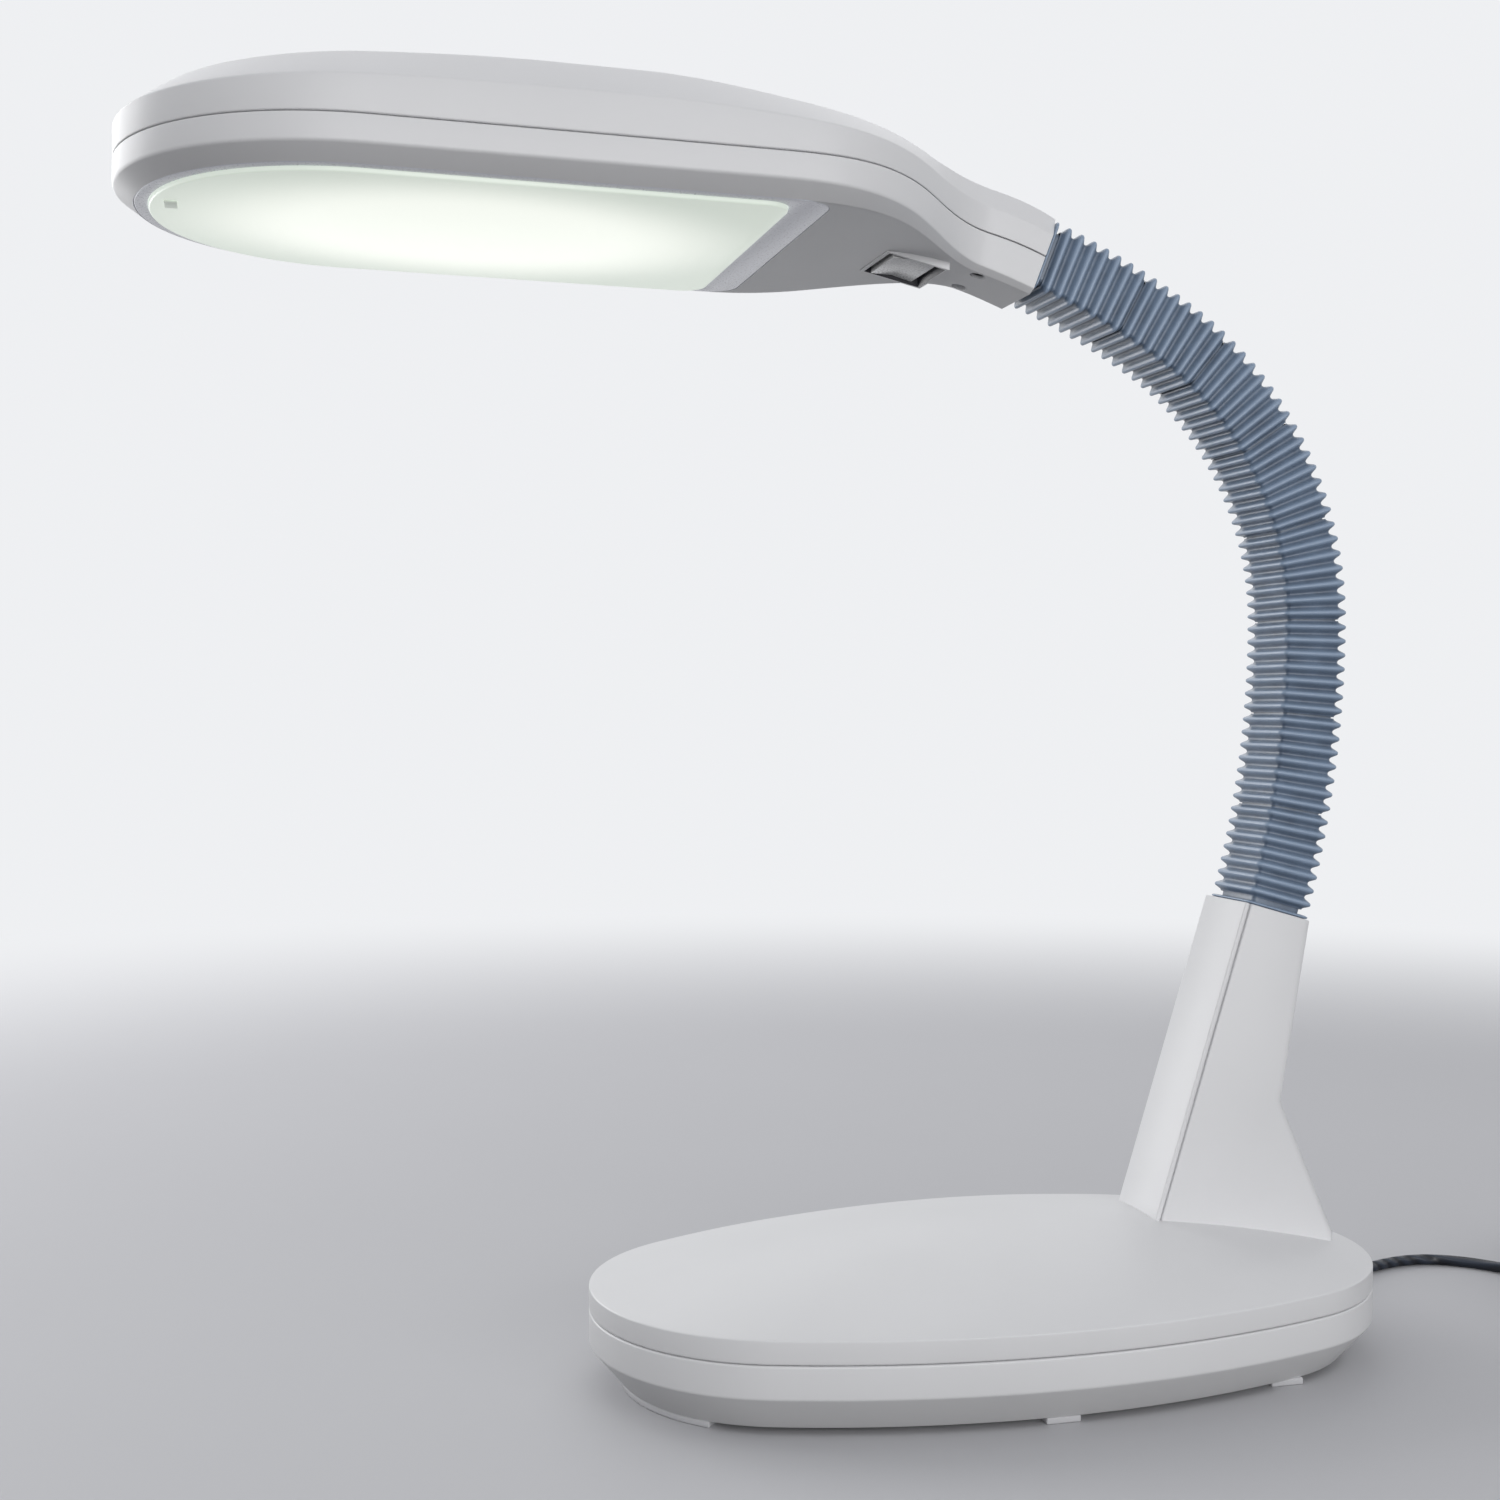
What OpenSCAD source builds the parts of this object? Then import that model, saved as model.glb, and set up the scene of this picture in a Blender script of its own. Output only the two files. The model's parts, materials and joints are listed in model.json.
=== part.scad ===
// Gooseneck LED desk lamp: oval base, leaning stem, ribbed neck and flat racetrack head.
// Frame: +Z up, table at z = 0, origin under the middle of the base, head towards -X.

/* [Base] */
// Length of the oval base
base_len = 260; // [230:1:300]
// Width of the oval base
base_wid = 142; // [132:1:170]
// Radius of the base's round ends
base_end_r = 60; // [50:1:64]
// Height of the rim where the crowned top meets the wall
base_rim_z = 30.5; // [28:0.5:36]
// Height of the seam between cover and tray
base_seam_z = 23.5; // [20:0.5:26]
// Height where the wall turns into the undercut
base_wall_z = 13.5; // [11:0.5:16]
// How far the undercut goes in under the wall
base_undercut = 9.7; // [6:0.1:12]
// Height of the crown above the rim
base_crown = 17.5; // [12:0.5:20]
// Wall of the base shells
base_shell = 2.4; // [1.8:0.1:3]
// Height of the rubber feet
foot_h = 2.2; // [1.5:0.1:4]
// Thickness of the cast weight plate
weight_h = 11.4; // [8:0.1:12]
// Gap between the weight plate and the tray wall at the floor
weight_gap = 4; // [3:0.5:8]

/* [Stem] */
// Width of the stem across the lamp
stem_w = 27.6; // [26:0.2:34]
// Depth of the stem at its top
stem_depth = 25.5; // [25:0.2:30]
// Distance of the stem's top centre before the back of its foot
stem_top_in = 21.5; // [14:0.5:28]
// Height of the stem's top centre
stem_top_z = 143.8; // [130:0.2:170]
// Lean of the stem's top, back from upright
stem_lean = 16; // [10:0.5:20]
// Length of the stem's foot on the crowned top
stem_foot_len = 65.8; // [60:0.2:72]
// Distance of the stem's foot from the back end of the base
stem_back_in = 11.7; // [11:0.1:18]
// Height of the kink where the back flares out
stem_kink_z = 80.9; // [70:0.5:95]
// Distance of the kink before the back of the stem's foot
stem_kink_in = 19.5; // [14:0.5:24]
// Thickness of the front cover of the stem
stem_front_t = 2; // [1.6:0.1:4]
// Wall of the stem shell
stem_shell = 2.4; // [1.8:0.1:2.8]

/* [Neck] */
// Length of the lower, nearly upright arc of the neck
neck_low_len = 97; // [80:1:115]
// Length of the middle arc, which bends forward
neck_mid_len = 110; // [95:1:125]
// Turn of the middle arc
neck_mid_turn = 58; // [45:1:65]
// Length of the top arc, which runs into the head
neck_top_len = 51; // [45:1:65]
// Turn of the top arc
neck_top_turn = 11; // [6:1:18]
// Half the neck's depth at the ribs, in the plane of the bend
rib_half_d = 11.4; // [11.2:0.1:12]
// Half the neck's width at the ribs
rib_half_w = 13.6; // [13:0.1:13.8]
// Depth of the valleys between the ribs
rib_depth = 1.8; // [1.4:0.1:2]
// Ribs on each length of sleeve
ribs_per_length = 7; // [5:1:9]
// Bore of the sleeve
sleeve_bore = 17.4; // [17.2:0.1:17.6]
// Half the open valley where two lengths of the neck turn on each other
neck_joint_gap = 1.7; // [1.6:0.1:2.2]
// Diameter of the core's balls
core_ball_d = 12.4; // [11:0.1:12.6]
// Diameter of the core's tubes
core_tube_d = 8.4; // [7.6:0.1:8.6]
// Bore of the core for the lead
core_bore = 5.2; // [4.6:0.1:5.6]
// Diameter of the lead inside the neck
lead_d = 3.2; // [2.4:0.1:3.6]

/* [Head] */
// Radius of the head's round tip and half its width
head_r = 68; // [60:1:76]
// Distance from the collar's end to the centre of the tip's round
head_tip_back = 214; // [200:1:240]
// Height of the head's body at its crest
head_h = 33.7; // [30:0.1:40]
// Upward tilt of the head towards its tip
head_tilt = 0.7; // [0:0.1:3]
// Wall of the head shells
head_shell = 2.4; // [1.8:0.1:2.6]
// Inset of the dark chamfer below the side band
head_chamfer = 6; // [4:0.2:8]
// Inset of the bevel round the top
head_bevel = 11; // [7:0.5:14]
// Start of the waist, before the collar's end
waist_start = 106; // [100:1:112]
// Half the collar's width
collar_half = 13.8; // [13.2:0.1:15]
// Border of the lens frame along the sides
frame_border = 4; // [3:0.2:6]
// Width of the straight bar behind the lens
frame_bar = 11.5; // [8:0.5:16]
// Rear edge of the lens frame, before the collar's end
frame_rear = 84; // [80:1:90]
// How far the lens stands proud of its frame
lens_proud = 1.2; // [0.6:0.1:2]

/* [Switch] */
// Length of the switch opening along the head
switch_len = 20.4; // [18:0.2:22]
// Width of the switch opening across the head
switch_wid = 27.6; // [24:0.2:30]
// Tilt of the rocker when switched on
rocker_tilt = 8; // [5:0.5:9]
// Diameter of the rocker's pivot pins
rocker_pin_d = 2.4; // [2:0.1:3]
// Running clearance of the rocker's pins
pin_clear = 0.05; // [0.02:0.01:0.08]

/* [Cord] */
// Diameter of the cord
cord_d = 3.8; // [3.4:0.1:4]
// Angle of the cord's exit round the back end of the base
gland_angle = 28; // [20:1:40]
// Turns in the put-away coil
coil_turns = 12; // [8:4:12]
// Step between neighbouring turns of the coil
coil_pitch = 4.4; // [4.3:0.1:5]

/* [Hidden] */
$fn = 48;

// Small shared sizes
fit_gap = 0.3;
slip_gap = 0.15;
over = 1;

white = [0.93, 0.93, 0.95];
shade = [0.72, 0.72, 0.77];
steel = [0.66, 0.67, 0.70];
iron = [0.22, 0.22, 0.24];
hose_blue = [0.45, 0.53, 0.65];
black = [0.06, 0.06, 0.08];

// Closed skin over rings of equal point count, with the solid to the left of the rings' path.
// Its ends are closed by a fan, or by a ladder between the two halves of a mirrored ring.
module loft(rings, closed = false, ladder = false) {
    n = len(rings[0]);
    m = len(rings);
    mid = function(r) [for (k = [0:2]) [for (p = r) p[k]] * [for (p = r) 1] / n];
    pts = [for (r = rings) each r];
    ends = closed || ladder ? [] : [mid(rings[0]), mid(rings[m - 1])];
    side = [for (i = [0:(closed ? m - 1 : m - 2)], j = [0:n - 1])
        let (e = (j + 1) % n, up = ((i + 1) % m) * n, a = i * n + j, b = i * n + e, c = up + j, d = up + e)
        each [[a, c, d], [a, d, b]]];
    fan = [for (j = [0:n - 1])
        each [[m * n, j, (j + 1) % n], [m * n + 1, (m - 1) * n + (j + 1) % n, (m - 1) * n + j]]];
    steps = [for (i = [0:(n - 3) / 2])
        each i == 0 ? [[0, 1, n - 1]] : [[i, i + 1, n - 1 - i], [i, n - 1 - i, n - i]]];
    top = (m - 1) * n;
    rungs = [for (t = steps) each [t, [top + t[0], top + t[2], top + t[1]]]];
    polyhedron(concat(pts, ends), concat(side, closed ? [] : ladder ? rungs : fan), convexity = 10);
}

// Polygon with every edge moved inwards by d, corners going anticlockwise
function turn(a, b) = a[0] * b[1] - a[1] * b[0];
function line_meet(p, u, q, v) = p + u * turn(q - p, v) / turn(u, v);
function inset_poly(p, d) = let (n = len(p)) [for (i = [0:n - 1])
    let (a = p[(i + n - 1) % n], b = p[i], c = p[(i + 1) % n],
        u = (b - a) / norm(b - a), v = (c - b) / norm(c - b))
    line_meet(a + d * [-u[1], u[0]], u, b + d * [-v[1], v[0]], v)];

function lerp(a, b, t) = a + (b - a) * t;
function smooth(t) = let (k = min(max(t, 0), 1)) (1 - cos(180 * k)) / 2;

// Oval of four arcs, given by the direction of its outward normal
end_c = base_len / 2 - base_end_r;
side_c = (end_c * end_c - pow(base_wid / 2 - base_end_r, 2)) / (2 * (base_wid / 2 - base_end_r));
side_r = side_c + base_wid / 2;
oval_turn = atan2(side_c, end_c);
oval_steps = 72;
function oval_side(a) = abs(sin(a)) > sin(oval_turn);
function oval_mid(a) = oval_side(a) ? [0, -side_c * sign(sin(a))] : [end_c * sign(cos(a)), 0];
function oval_point(a, d) = oval_mid(a) + ((oval_side(a) ? side_r : base_end_r) - d) * [cos(a), sin(a)];
function oval_ring(d, z, k = 1) = [for (i = [0:oval_steps - 1])
    let (p = oval_point(i * 360 / oval_steps, d) * k) [p[0], p[1], z]];
module oval_plate(d) {
    polygon([for (p = oval_ring(d, 0)) [p[0], p[1]]]);
}

// Crowned top: height above the rim by how far out a point lies
crown_steps = [0.985, 0.95, 0.88, 0.78, 0.64, 0.46, 0.26, 0.08];
function crown_z(k) = base_rim_z + base_crown * (1 - k * k);
function crown_at(x, y) = crown_z(norm([x / (base_len / 2), y / (base_wid / 2)]));

tray_floor_z = foot_h + base_shell;
weight_top_z = tray_floor_z + weight_h;
boss_front_in = 35;
boss_front_y = 26;
boss_mid_x = 24;
boss_mid_in = 29;
boss_spots = [for (s = [-1, 1]) each [[boss_front_in - base_len / 2, s * boss_front_y],
    [boss_mid_x, s * (base_wid / 2 - boss_mid_in)]]];
boss_d = 8;
boss_pilot_d = 2.6;
base_screw_d = 3;
screw_head_d = 5.6;
screw_head_h = 1.8;
boss_foot_z = tray_floor_z + fit_gap;

module base_top_cover() {
    t = base_shell;
    color(white) difference() {
        union() {
            loft(concat(
                [for (i = [len(crown_steps) - 1:-1:0])
                    let (k = crown_steps[i]) oval_ring(t, crown_z(k) - t, k)],
                [oval_ring(t, base_rim_z - t), oval_ring(t, base_seam_z),
                    oval_ring(0, base_seam_z), oval_ring(0, base_rim_z)],
                [for (k = crown_steps) oval_ring(0, crown_z(k), k)]));
            for (p = boss_spots) translate([p[0], p[1], boss_foot_z])
                cylinder(d = boss_d, h = crown_at(p[0], p[1]) - t / 2 - boss_foot_z);
        }
        for (p = boss_spots) translate([p[0], p[1], boss_foot_z - over])
            cylinder(d = boss_pilot_d, h = base_rim_z - boss_foot_z);
        stem_block(-slip_gap);
    }
}

gland_dir = [cos(gland_angle), sin(gland_angle)];
gland_z = (base_wall_z + foot_h) / 2 + over;
gland_d = 7.4;
gland_hole_d = gland_d + 2 * slip_gap;
gland_flange_d = 8.2;
gland_flange_t = 1.6;
gland_out = 20;
gland_neck = 2;
gland_lip = 1.2;
gland_wall = oval_point(gland_angle, 0);
gland_in = base_undercut + base_shell + 2 * slip_gap;
module at_gland(out) {
    p = gland_wall + out * gland_dir;
    translate([p[0], p[1], gland_z]) rotate([0, 90, gland_angle]) children();
}

module base_tray() {
    t = base_shell;
    u = base_undercut;
    color(white) difference() {
        loft([oval_ring(u + t, tray_floor_z), oval_ring(t, base_wall_z + t / 2), oval_ring(t, base_seam_z),
            oval_ring(0, base_seam_z), oval_ring(0, base_wall_z), oval_ring(u, foot_h)]);
        for (p = boss_spots) translate([p[0], p[1], foot_h - over])
            cylinder(d = base_screw_d + 2 * slip_gap, h = base_shell + 2 * over);
        for (p = boss_spots) translate([p[0], p[1], foot_h - over])
            cylinder(d = screw_head_d + 2 * slip_gap, h = over + screw_seat);
        at_gland(-base_undercut - t) cylinder(d = gland_hole_d, h = base_undercut + t + over);
    }
}

screw_seat = 1.2;
base_screw_len = 13;
module base_screws() {
    color(steel) for (p = boss_spots) translate([p[0], p[1], foot_h + screw_seat - screw_head_h]) {
        cylinder(d = screw_head_d, h = screw_head_h);
        cylinder(d = boss_pilot_d, h = screw_head_h + base_screw_len);
    }
}

lead_bay_d = 10;
lead_bay = gland_wall - (gland_in + gland_flange_t + lead_bay_d / 2) * gland_dir;
module base_weight() {
    color(iron) difference() {
        translate([0, 0, tray_floor_z]) linear_extrude(weight_h)
            oval_plate(base_undercut + base_shell + weight_gap);
        for (p = boss_spots) translate([p[0], p[1], tray_floor_z - over])
            cylinder(d = boss_d + 2 * fit_gap, h = weight_h + 2 * over);
        translate([lead_bay[0], lead_bay[1], tray_floor_z - over])
            cylinder(d = lead_bay_d, h = weight_h + 2 * over);
    }
}

// Feet: a long arc pad under the front end, short pads round the rest and one round pad in the middle
foot_in = base_undercut + fit_gap;
foot_w = 7;
arc_half = 50;
pad_angles = [90, 73];
pad_len = 11;
mid_pad_d = 24;
module base_feet() {
    r = base_end_r - foot_in;
    color([0.86, 0.86, 0.88]) {
        translate([-end_c, 0, 0]) rotate([0, 0, 180 - arc_half]) rotate_extrude(angle = 2 * arc_half)
            translate([r - foot_w, 0]) square([foot_w, foot_h]);
        for (a = pad_angles, s = [-1, 1]) {
            p = oval_point(a, foot_in + foot_w / 2);
            translate([p[0] - pad_len / 2, s * p[1] - foot_w / 2, 0]) cube([pad_len, foot_w, foot_h]);
        }
        translate([end_c + r - foot_w, -pad_len / 2, 0]) cube([foot_w, pad_len, foot_h]);
        cylinder(d = mid_pad_d, h = foot_h);
    }
}

module cord_gland() {
    color(black) difference() {
        union() {
            at_gland(-gland_in - gland_flange_t)
                cylinder(d = gland_d, h = gland_in + gland_flange_t + gland_neck);
            at_gland(-gland_in - gland_flange_t) cylinder(d = gland_flange_d, h = gland_flange_t);
            at_gland(0) cylinder(d1 = gland_d, d2 = cord_d + gland_lip, h = gland_out);
        }
        at_gland(-gland_in - gland_flange_t - over)
            cylinder(d = cord_d, h = gland_in + gland_flange_t + gland_out + 2 * over);
    }
}

// Stem: side outline as corners going anticlockwise, from the foot on the weight plate
stem_axis = [sin(stem_lean), cos(stem_lean)];
stem_across = [cos(stem_lean), -sin(stem_lean)];
stem_foot_back = base_len / 2 - stem_back_in;
stem_foot_front = stem_foot_back - stem_foot_len;
stem_top_x = stem_foot_back - stem_top_in;
stem_kink_x = stem_foot_back - stem_kink_in;
stem_top = [stem_top_x, stem_top_z];
stem_tf = stem_top - stem_across * stem_depth / 2;
stem_tb = stem_top + stem_across * stem_depth / 2;
foot_back_rise = 3.3;
foot_front_z = crown_at(stem_foot_front, stem_w / 2);
foot_back_z = crown_at(stem_foot_back, stem_w / 2) + foot_back_rise;
stem_front_slope = (stem_tf[0] - stem_foot_front) / (stem_tf[1] - foot_front_z);
stem_outline = [[stem_foot_front - stem_front_slope * (foot_front_z - weight_top_z), weight_top_z],
    [stem_foot_back, weight_top_z], [stem_foot_back, foot_back_z], [stem_kink_x, stem_kink_z],
    stem_tb, stem_tf];
// The same outline, reaching out past the front, for the room that the front cover closes
stem_open = stem_front_t + 2 * stem_shell;
stem_room = concat([stem_outline[0] - [stem_open, 0]], [for (i = [1:4]) stem_outline[i]],
    [stem_tf - stem_across * stem_open]);
front_dir = [stem_front_slope, 1] / norm([stem_front_slope, 1]);
back_dir = unit(stem_tb - stem_outline[3]);
// Where the front and the back face lie across the stem, at a distance along its axis
function front_at(s) = s * (stem_across * front_dir) / (stem_axis * front_dir) - stem_depth / 2;
function back_at(s) = s * (stem_across * back_dir) / (stem_axis * back_dir) + stem_depth / 2;

module stem_slab(p, w) {
    rotate([90, 0, 0]) linear_extrude(w, center = true) polygon(p);
}
module stem_block(inset) {
    stem_slab(inset_poly(stem_outline, inset), stem_w - 2 * inset);
}
// The front strip of the outline, as deep as the front cover
module stem_front_zone(t) {
    a = stem_outline[0];
    b = stem_tf;
    n = [front_dir[1], -front_dir[0]] * t;
    low = a - front_dir * stem_depth;
    high = b + front_dir * stem_depth;
    stem_slab([low - n, low + n, high + n, high - n], 2 * stem_w);
}
module at_stem(s) {
    translate([stem_top_x, 0, stem_top_z]) rotate([0, stem_lean, 0]) translate([0, 0, s]) children();
}

// Ball seats of the neck and the plate that carries the lowest one
seat_gap = 0.3;
cup_wall = 1.7;
cup_r = core_ball_d / 2 + seat_gap;
cup_out_r = cup_r + cup_wall;
cup_lip = 70;
hinge_in = 2.5;
seat_s = hinge_in - cup_out_r;
plate_t = 3;
stalk_d = 9;
stalk_len = 6;
nut_d = 15;
nut_h = 4;

module stem_rear_shell() {
    color(white) difference() {
        stem_block(0);
        stem_front_zone(stem_front_t);
        difference() {
            stem_slab(inset_poly(stem_room, stem_shell), stem_w - 2 * stem_shell);
            at_stem(seat_s - plate_t / 2) cube([4 * stem_depth, 2 * stem_w, plate_t], center = true);
        }
        at_stem(seat_s - over) cylinder(d = 2 * cup_out_r + 2 * fit_gap, h = -seat_s + 2 * over);
        at_stem(seat_s - plate_t - over) cylinder(d = stalk_d + 2 * slip_gap, h = plate_t + 2 * over);
        at_stem(stem_screw_s) rotate([0, 90, 0]) cylinder(d = stem_screw_hole_d, h = stem_depth);
        translate([lead_notch[0], 0, lead_notch[1]]) rotate([-90, 0, 0])
            cylinder(d = lead_notch_d, h = stem_w);
        at_stem(stem_screw_s) translate([stem_screw_seat, 0, 0]) rotate([0, 90, 0])
            cylinder(d = stem_screw_head_d + 2 * slip_gap, h = stem_depth);
    }
}

stem_screw_s = -25;
stem_screw_hole_d = 3.4;
stem_screw_head_d = 5.4;
stem_screw_sink = 1.2;
stem_boss_d = 8;
stem_screw_head_h = 1.1;
stem_screw_seat = back_at(stem_screw_s) - stem_screw_sink;
stem_boss_foot = front_at(stem_screw_s) + stem_front_t;
stem_boss_gap = 0.6;
module stem_front_cover() {
    reach = back_at(stem_screw_s) - stem_shell - stem_boss_gap - stem_boss_foot;
    color(white) difference() {
        union() {
            intersection() {
                difference() {
                    stem_block(0);
                    at_stem(seat_s) cylinder(d = 2 * cup_out_r + 2 * fit_gap, h = -seat_s + over);
                }
                stem_front_zone(stem_front_t - slip_gap);
            }
            at_stem(stem_screw_s) translate([stem_boss_foot - stem_front_t / 2, 0, 0]) rotate([0, 90, 0])
                cylinder(d = stem_boss_d, h = stem_front_t / 2 + reach);
        }
        at_stem(stem_screw_s) translate([stem_boss_foot, 0, 0]) rotate([0, 90, 0])
            cylinder(d = boss_pilot_d, h = 2 * stem_depth);
    }
}

module stem_screw() {
    color(steel) at_stem(stem_screw_s) rotate([0, 90, 0]) {
        translate([0, 0, stem_screw_seat]) cylinder(d = stem_screw_head_d, h = stem_screw_head_h);
        translate([0, 0, stem_boss_foot + over])
            cylinder(d = boss_pilot_d, h = stem_screw_seat - stem_boss_foot - over);
    }
}

// Tube of n sides along a list of points in space
function unit(v) = v / norm(v);
function way(p, i) = unit(p[min(i + 1, len(p) - 1)] - p[max(i - 1, 0)]);
function side_of(t) = abs(t[2]) > 0.9 ? unit(cross([0, 1, 0], t)) : unit(cross([0, 0, 1], t));
function tube_rings(p, r, n) = [for (i = [0:len(p) - 1])
    let (t = way(p, i), a = side_of(t), b = cross(t, a))
    [for (j = [0:n - 1]) p[i] + r * (cos(j * 360 / n) * a + sin(j * 360 / n) * b)]];

// Lead from the gland up through a notch in the stem's wall and past the screw boss
function stem_at(s, y) = [stem_top_x + s * stem_axis[0], y, stem_top_z + s * stem_axis[1]];
lead_notch_in = 21.8;
lead_notch = [stem_foot_back - lead_notch_in, 24];
lead_notch_d = 7.2;
lead_end_gap = 0.4;
lead_foot = hinge_in - core_ball_d / 2 - lead_end_gap;
base_lead_way = [for (p = [[-6.8, 22.1, gland_z], [-9.3, 20.8, 9.4], [-11, 20.1, 11.6], [-12, 19.8, 15.5],
    [-13.3, 19.6, 19], [-16.3, 18.8, 22.4], [-19.8, 16.5, 24], [-21.8, 13, 24], [-22.3, 9.5, 24.3],
    [-24.3, 5, 26], [-28.3, 2, 31], [-31.8, 0.6, 40], [-34.3, 1, 55], [-34.8, 2, 72], [-34.3, 3.5, 88]])
    p + [stem_foot_back, 0, 0]];
stem_lead_way = [stem_at(-42, 5.4), stem_at(-34, 7), stem_at(-28, 7.6), stem_at(-22.5, 7.2),
    stem_at(-19, 4.6), stem_at(-16, 1.6), stem_at(-13, 0.2), stem_at(lead_foot, 0)];
module stem_lead() {
    color(black) loft(tube_rings(concat(base_lead_way, stem_lead_way), lead_d / 2, 8));
}

// Neck: centreline of three arcs, as an angle from upright and a point in the lamp's middle plane
neck_len = neck_low_len + neck_mid_len + neck_top_len;
function arc_end(a0, a1, l) = let (k = (a1 - a0) * PI / 180 / l)
    [(cos(a0) - cos(a1)) / k, 0, (sin(a1) - sin(a0)) / k];
function neck_angle(s) = s < neck_low_len ? stem_lean * (1 - s / neck_low_len)
    : s < neck_low_len + neck_mid_len ? -neck_mid_turn * (s - neck_low_len) / neck_mid_len
    : -neck_mid_turn - neck_top_turn * (s - neck_low_len - neck_mid_len) / neck_top_len;
neck_root = [stem_top_x, 0, stem_top_z];
neck_p1 = neck_root + arc_end(stem_lean, 0, neck_low_len);
neck_p2 = neck_p1 + arc_end(0, -neck_mid_turn, neck_mid_len);
tiny = 0.001;
function neck_point(s) = s < neck_low_len ? neck_root + arc_end(stem_lean, neck_angle(s) - tiny, s + tiny)
    : s < neck_low_len + neck_mid_len
    ? neck_p1 + arc_end(0, neck_angle(s) - tiny, s - neck_low_len + tiny)
    : neck_p2 + arc_end(-neck_mid_turn, neck_angle(s) - tiny, s - neck_low_len - neck_mid_len + tiny);
function neck_n(s) = [cos(neck_angle(s)), 0, -sin(neck_angle(s))];
neck_end = neck_point(neck_len);
neck_end_angle = neck_angle(neck_len);

lengths = 8;
length_s = (neck_len - 2 * hinge_in) / lengths;
function hinge_s(k) = hinge_in + k * length_s;
function hinge(k) = neck_point(hinge_s(k));

// Rounded square section of the sleeve, three points to a corner
function square_ring(s, hd, hw, r) = [for (q = [0:3], c = [0:2])
    let (a = q * 90 + c * 45, u = (q == 0 || q == 3 ? 1 : -1) * (hd - r) + r * cos(a),
        v = (q < 2 ? 1 : -1) * (hw - r) + r * sin(a))
    neck_point(s) + neck_n(s) * u + [0, v, 0]];
function round_ring(s, r) = [for (q = [0:3], c = [0:2]) let (a = q * 90 + c * 45 * 2 / 3 + 15)
    neck_point(s) + r * (cos(a) * neck_n(s) + [0, sin(a), 0])];
rib_round = 1.8;

module neck_sleeve(k) {
    s0 = hinge_s(k - 1) + neck_joint_gap;
    s1 = hinge_s(k) - neck_joint_gap;
    step = (s1 - s0) / ribs_per_length;
    ribs = [for (i = [0:ribs_per_length - 1], e = [0, 1])
        let (s = s0 + (i + e / 2) * step, d = e == 0 ? rib_depth : 0)
        square_ring(s, rib_half_d - d, rib_half_w - d, rib_round - d / 2)];
    last = [square_ring(s1, rib_half_d - rib_depth, rib_half_w - rib_depth, rib_round - rib_depth / 2)];
    bore = [for (i = [ribs_per_length:-1:0]) round_ring(s0 + i * step, sleeve_bore / 2 / cos(15))];
    color(hose_blue) loft(concat(ribs, last, bore), closed = true);
}

// Place along the straight line from one hinge point to the next
module at_chord(k) {
    d = hinge(k) - hinge(k - 1);
    translate(hinge(k - 1)) rotate([0, atan2(d[0], d[2]), 0]) children();
}
function chord(k) = norm(hinge(k) - hinge(k - 1));

// Spherical cup round the origin, open upwards, with the lip past its widest place
module cup() {
    rotate_extrude() difference() {
        intersection() {
            circle(r = cup_out_r);
            translate([0, -cup_out_r]) square([cup_out_r, cup_out_r * (1 + cos(cup_lip))]);
        }
        circle(r = cup_r);
        translate([-cup_out_r, -2 * cup_out_r]) square([cup_out_r, 4 * cup_out_r]);
    }
}

module neck_core(k) {
    l = chord(k);
    color(steel) at_chord(k) difference() {
        union() {
            sphere(d = core_ball_d);
            cylinder(d = core_tube_d, h = l - cup_r - cup_wall / 2);
            translate([0, 0, l]) cup();
        }
        translate([0, 0, -core_ball_d]) cylinder(d = core_bore, h = l + core_ball_d);
    }
}

// Lead of one length, from inside its own ball to just short of the next one
module neck_lead(k) {
    out = core_ball_d / 2 - lead_end_gap;
    color(black) at_chord(k) translate([0, 0, -out])
        cylinder(d = lead_d, h = chord(k) - 2 * lead_end_gap);
}

module neck_lower_fitting() {
    color(steel) difference() {
        union() {
            at_stem(hinge_in) cup();
            at_stem(seat_s - plate_t - stalk_len)
                cylinder(d = stalk_d, h = stalk_len + plate_t + cup_wall / 2);
        }
        at_stem(seat_s - plate_t - stalk_len - over)
            cylinder(d = core_bore, h = stalk_len + plate_t + cup_out_r + over);
    }
}

module neck_lower_nut() {
    color(steel) at_stem(seat_s - plate_t - nut_h) difference() {
        cylinder(d = nut_d, h = nut_h, $fn = 6);
        translate([0, 0, -over]) cylinder(d = stalk_d, h = nut_h + 2 * over);
    }
}

// Cuffs: the first and last rib, fixed to the stem and to the head
cuff_t = 1.2;
cuff_seat = 0.05;
module cuff_plate(bore) {
    r = rib_round;
    linear_extrude(cuff_t) difference() {
        union() {
            square([2 * rib_half_d, 2 * (rib_half_w - r)], center = true);
            square([2 * (rib_half_d - r), 2 * rib_half_w], center = true);
            for (x = [-1, 1], y = [-1, 1])
                translate([x * (rib_half_d - r), y * (rib_half_w - r)]) circle(r = r);
        }
        circle(d = bore);
    }
}
cuff_bore = 2 * cup_out_r + 2 * fit_gap;
module neck_lower_cuff() {
    color(hose_blue) at_stem(cuff_seat) cuff_plate(cuff_bore);
}
module at_neck_end(s) {
    translate(neck_end) rotate([0, neck_end_angle, 0]) translate([0, 0, s]) children();
}
module neck_upper_cuff() {
    color(hose_blue) at_neck_end(-cuff_t - cuff_seat) cuff_plate(cuff_bore);
}

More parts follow.
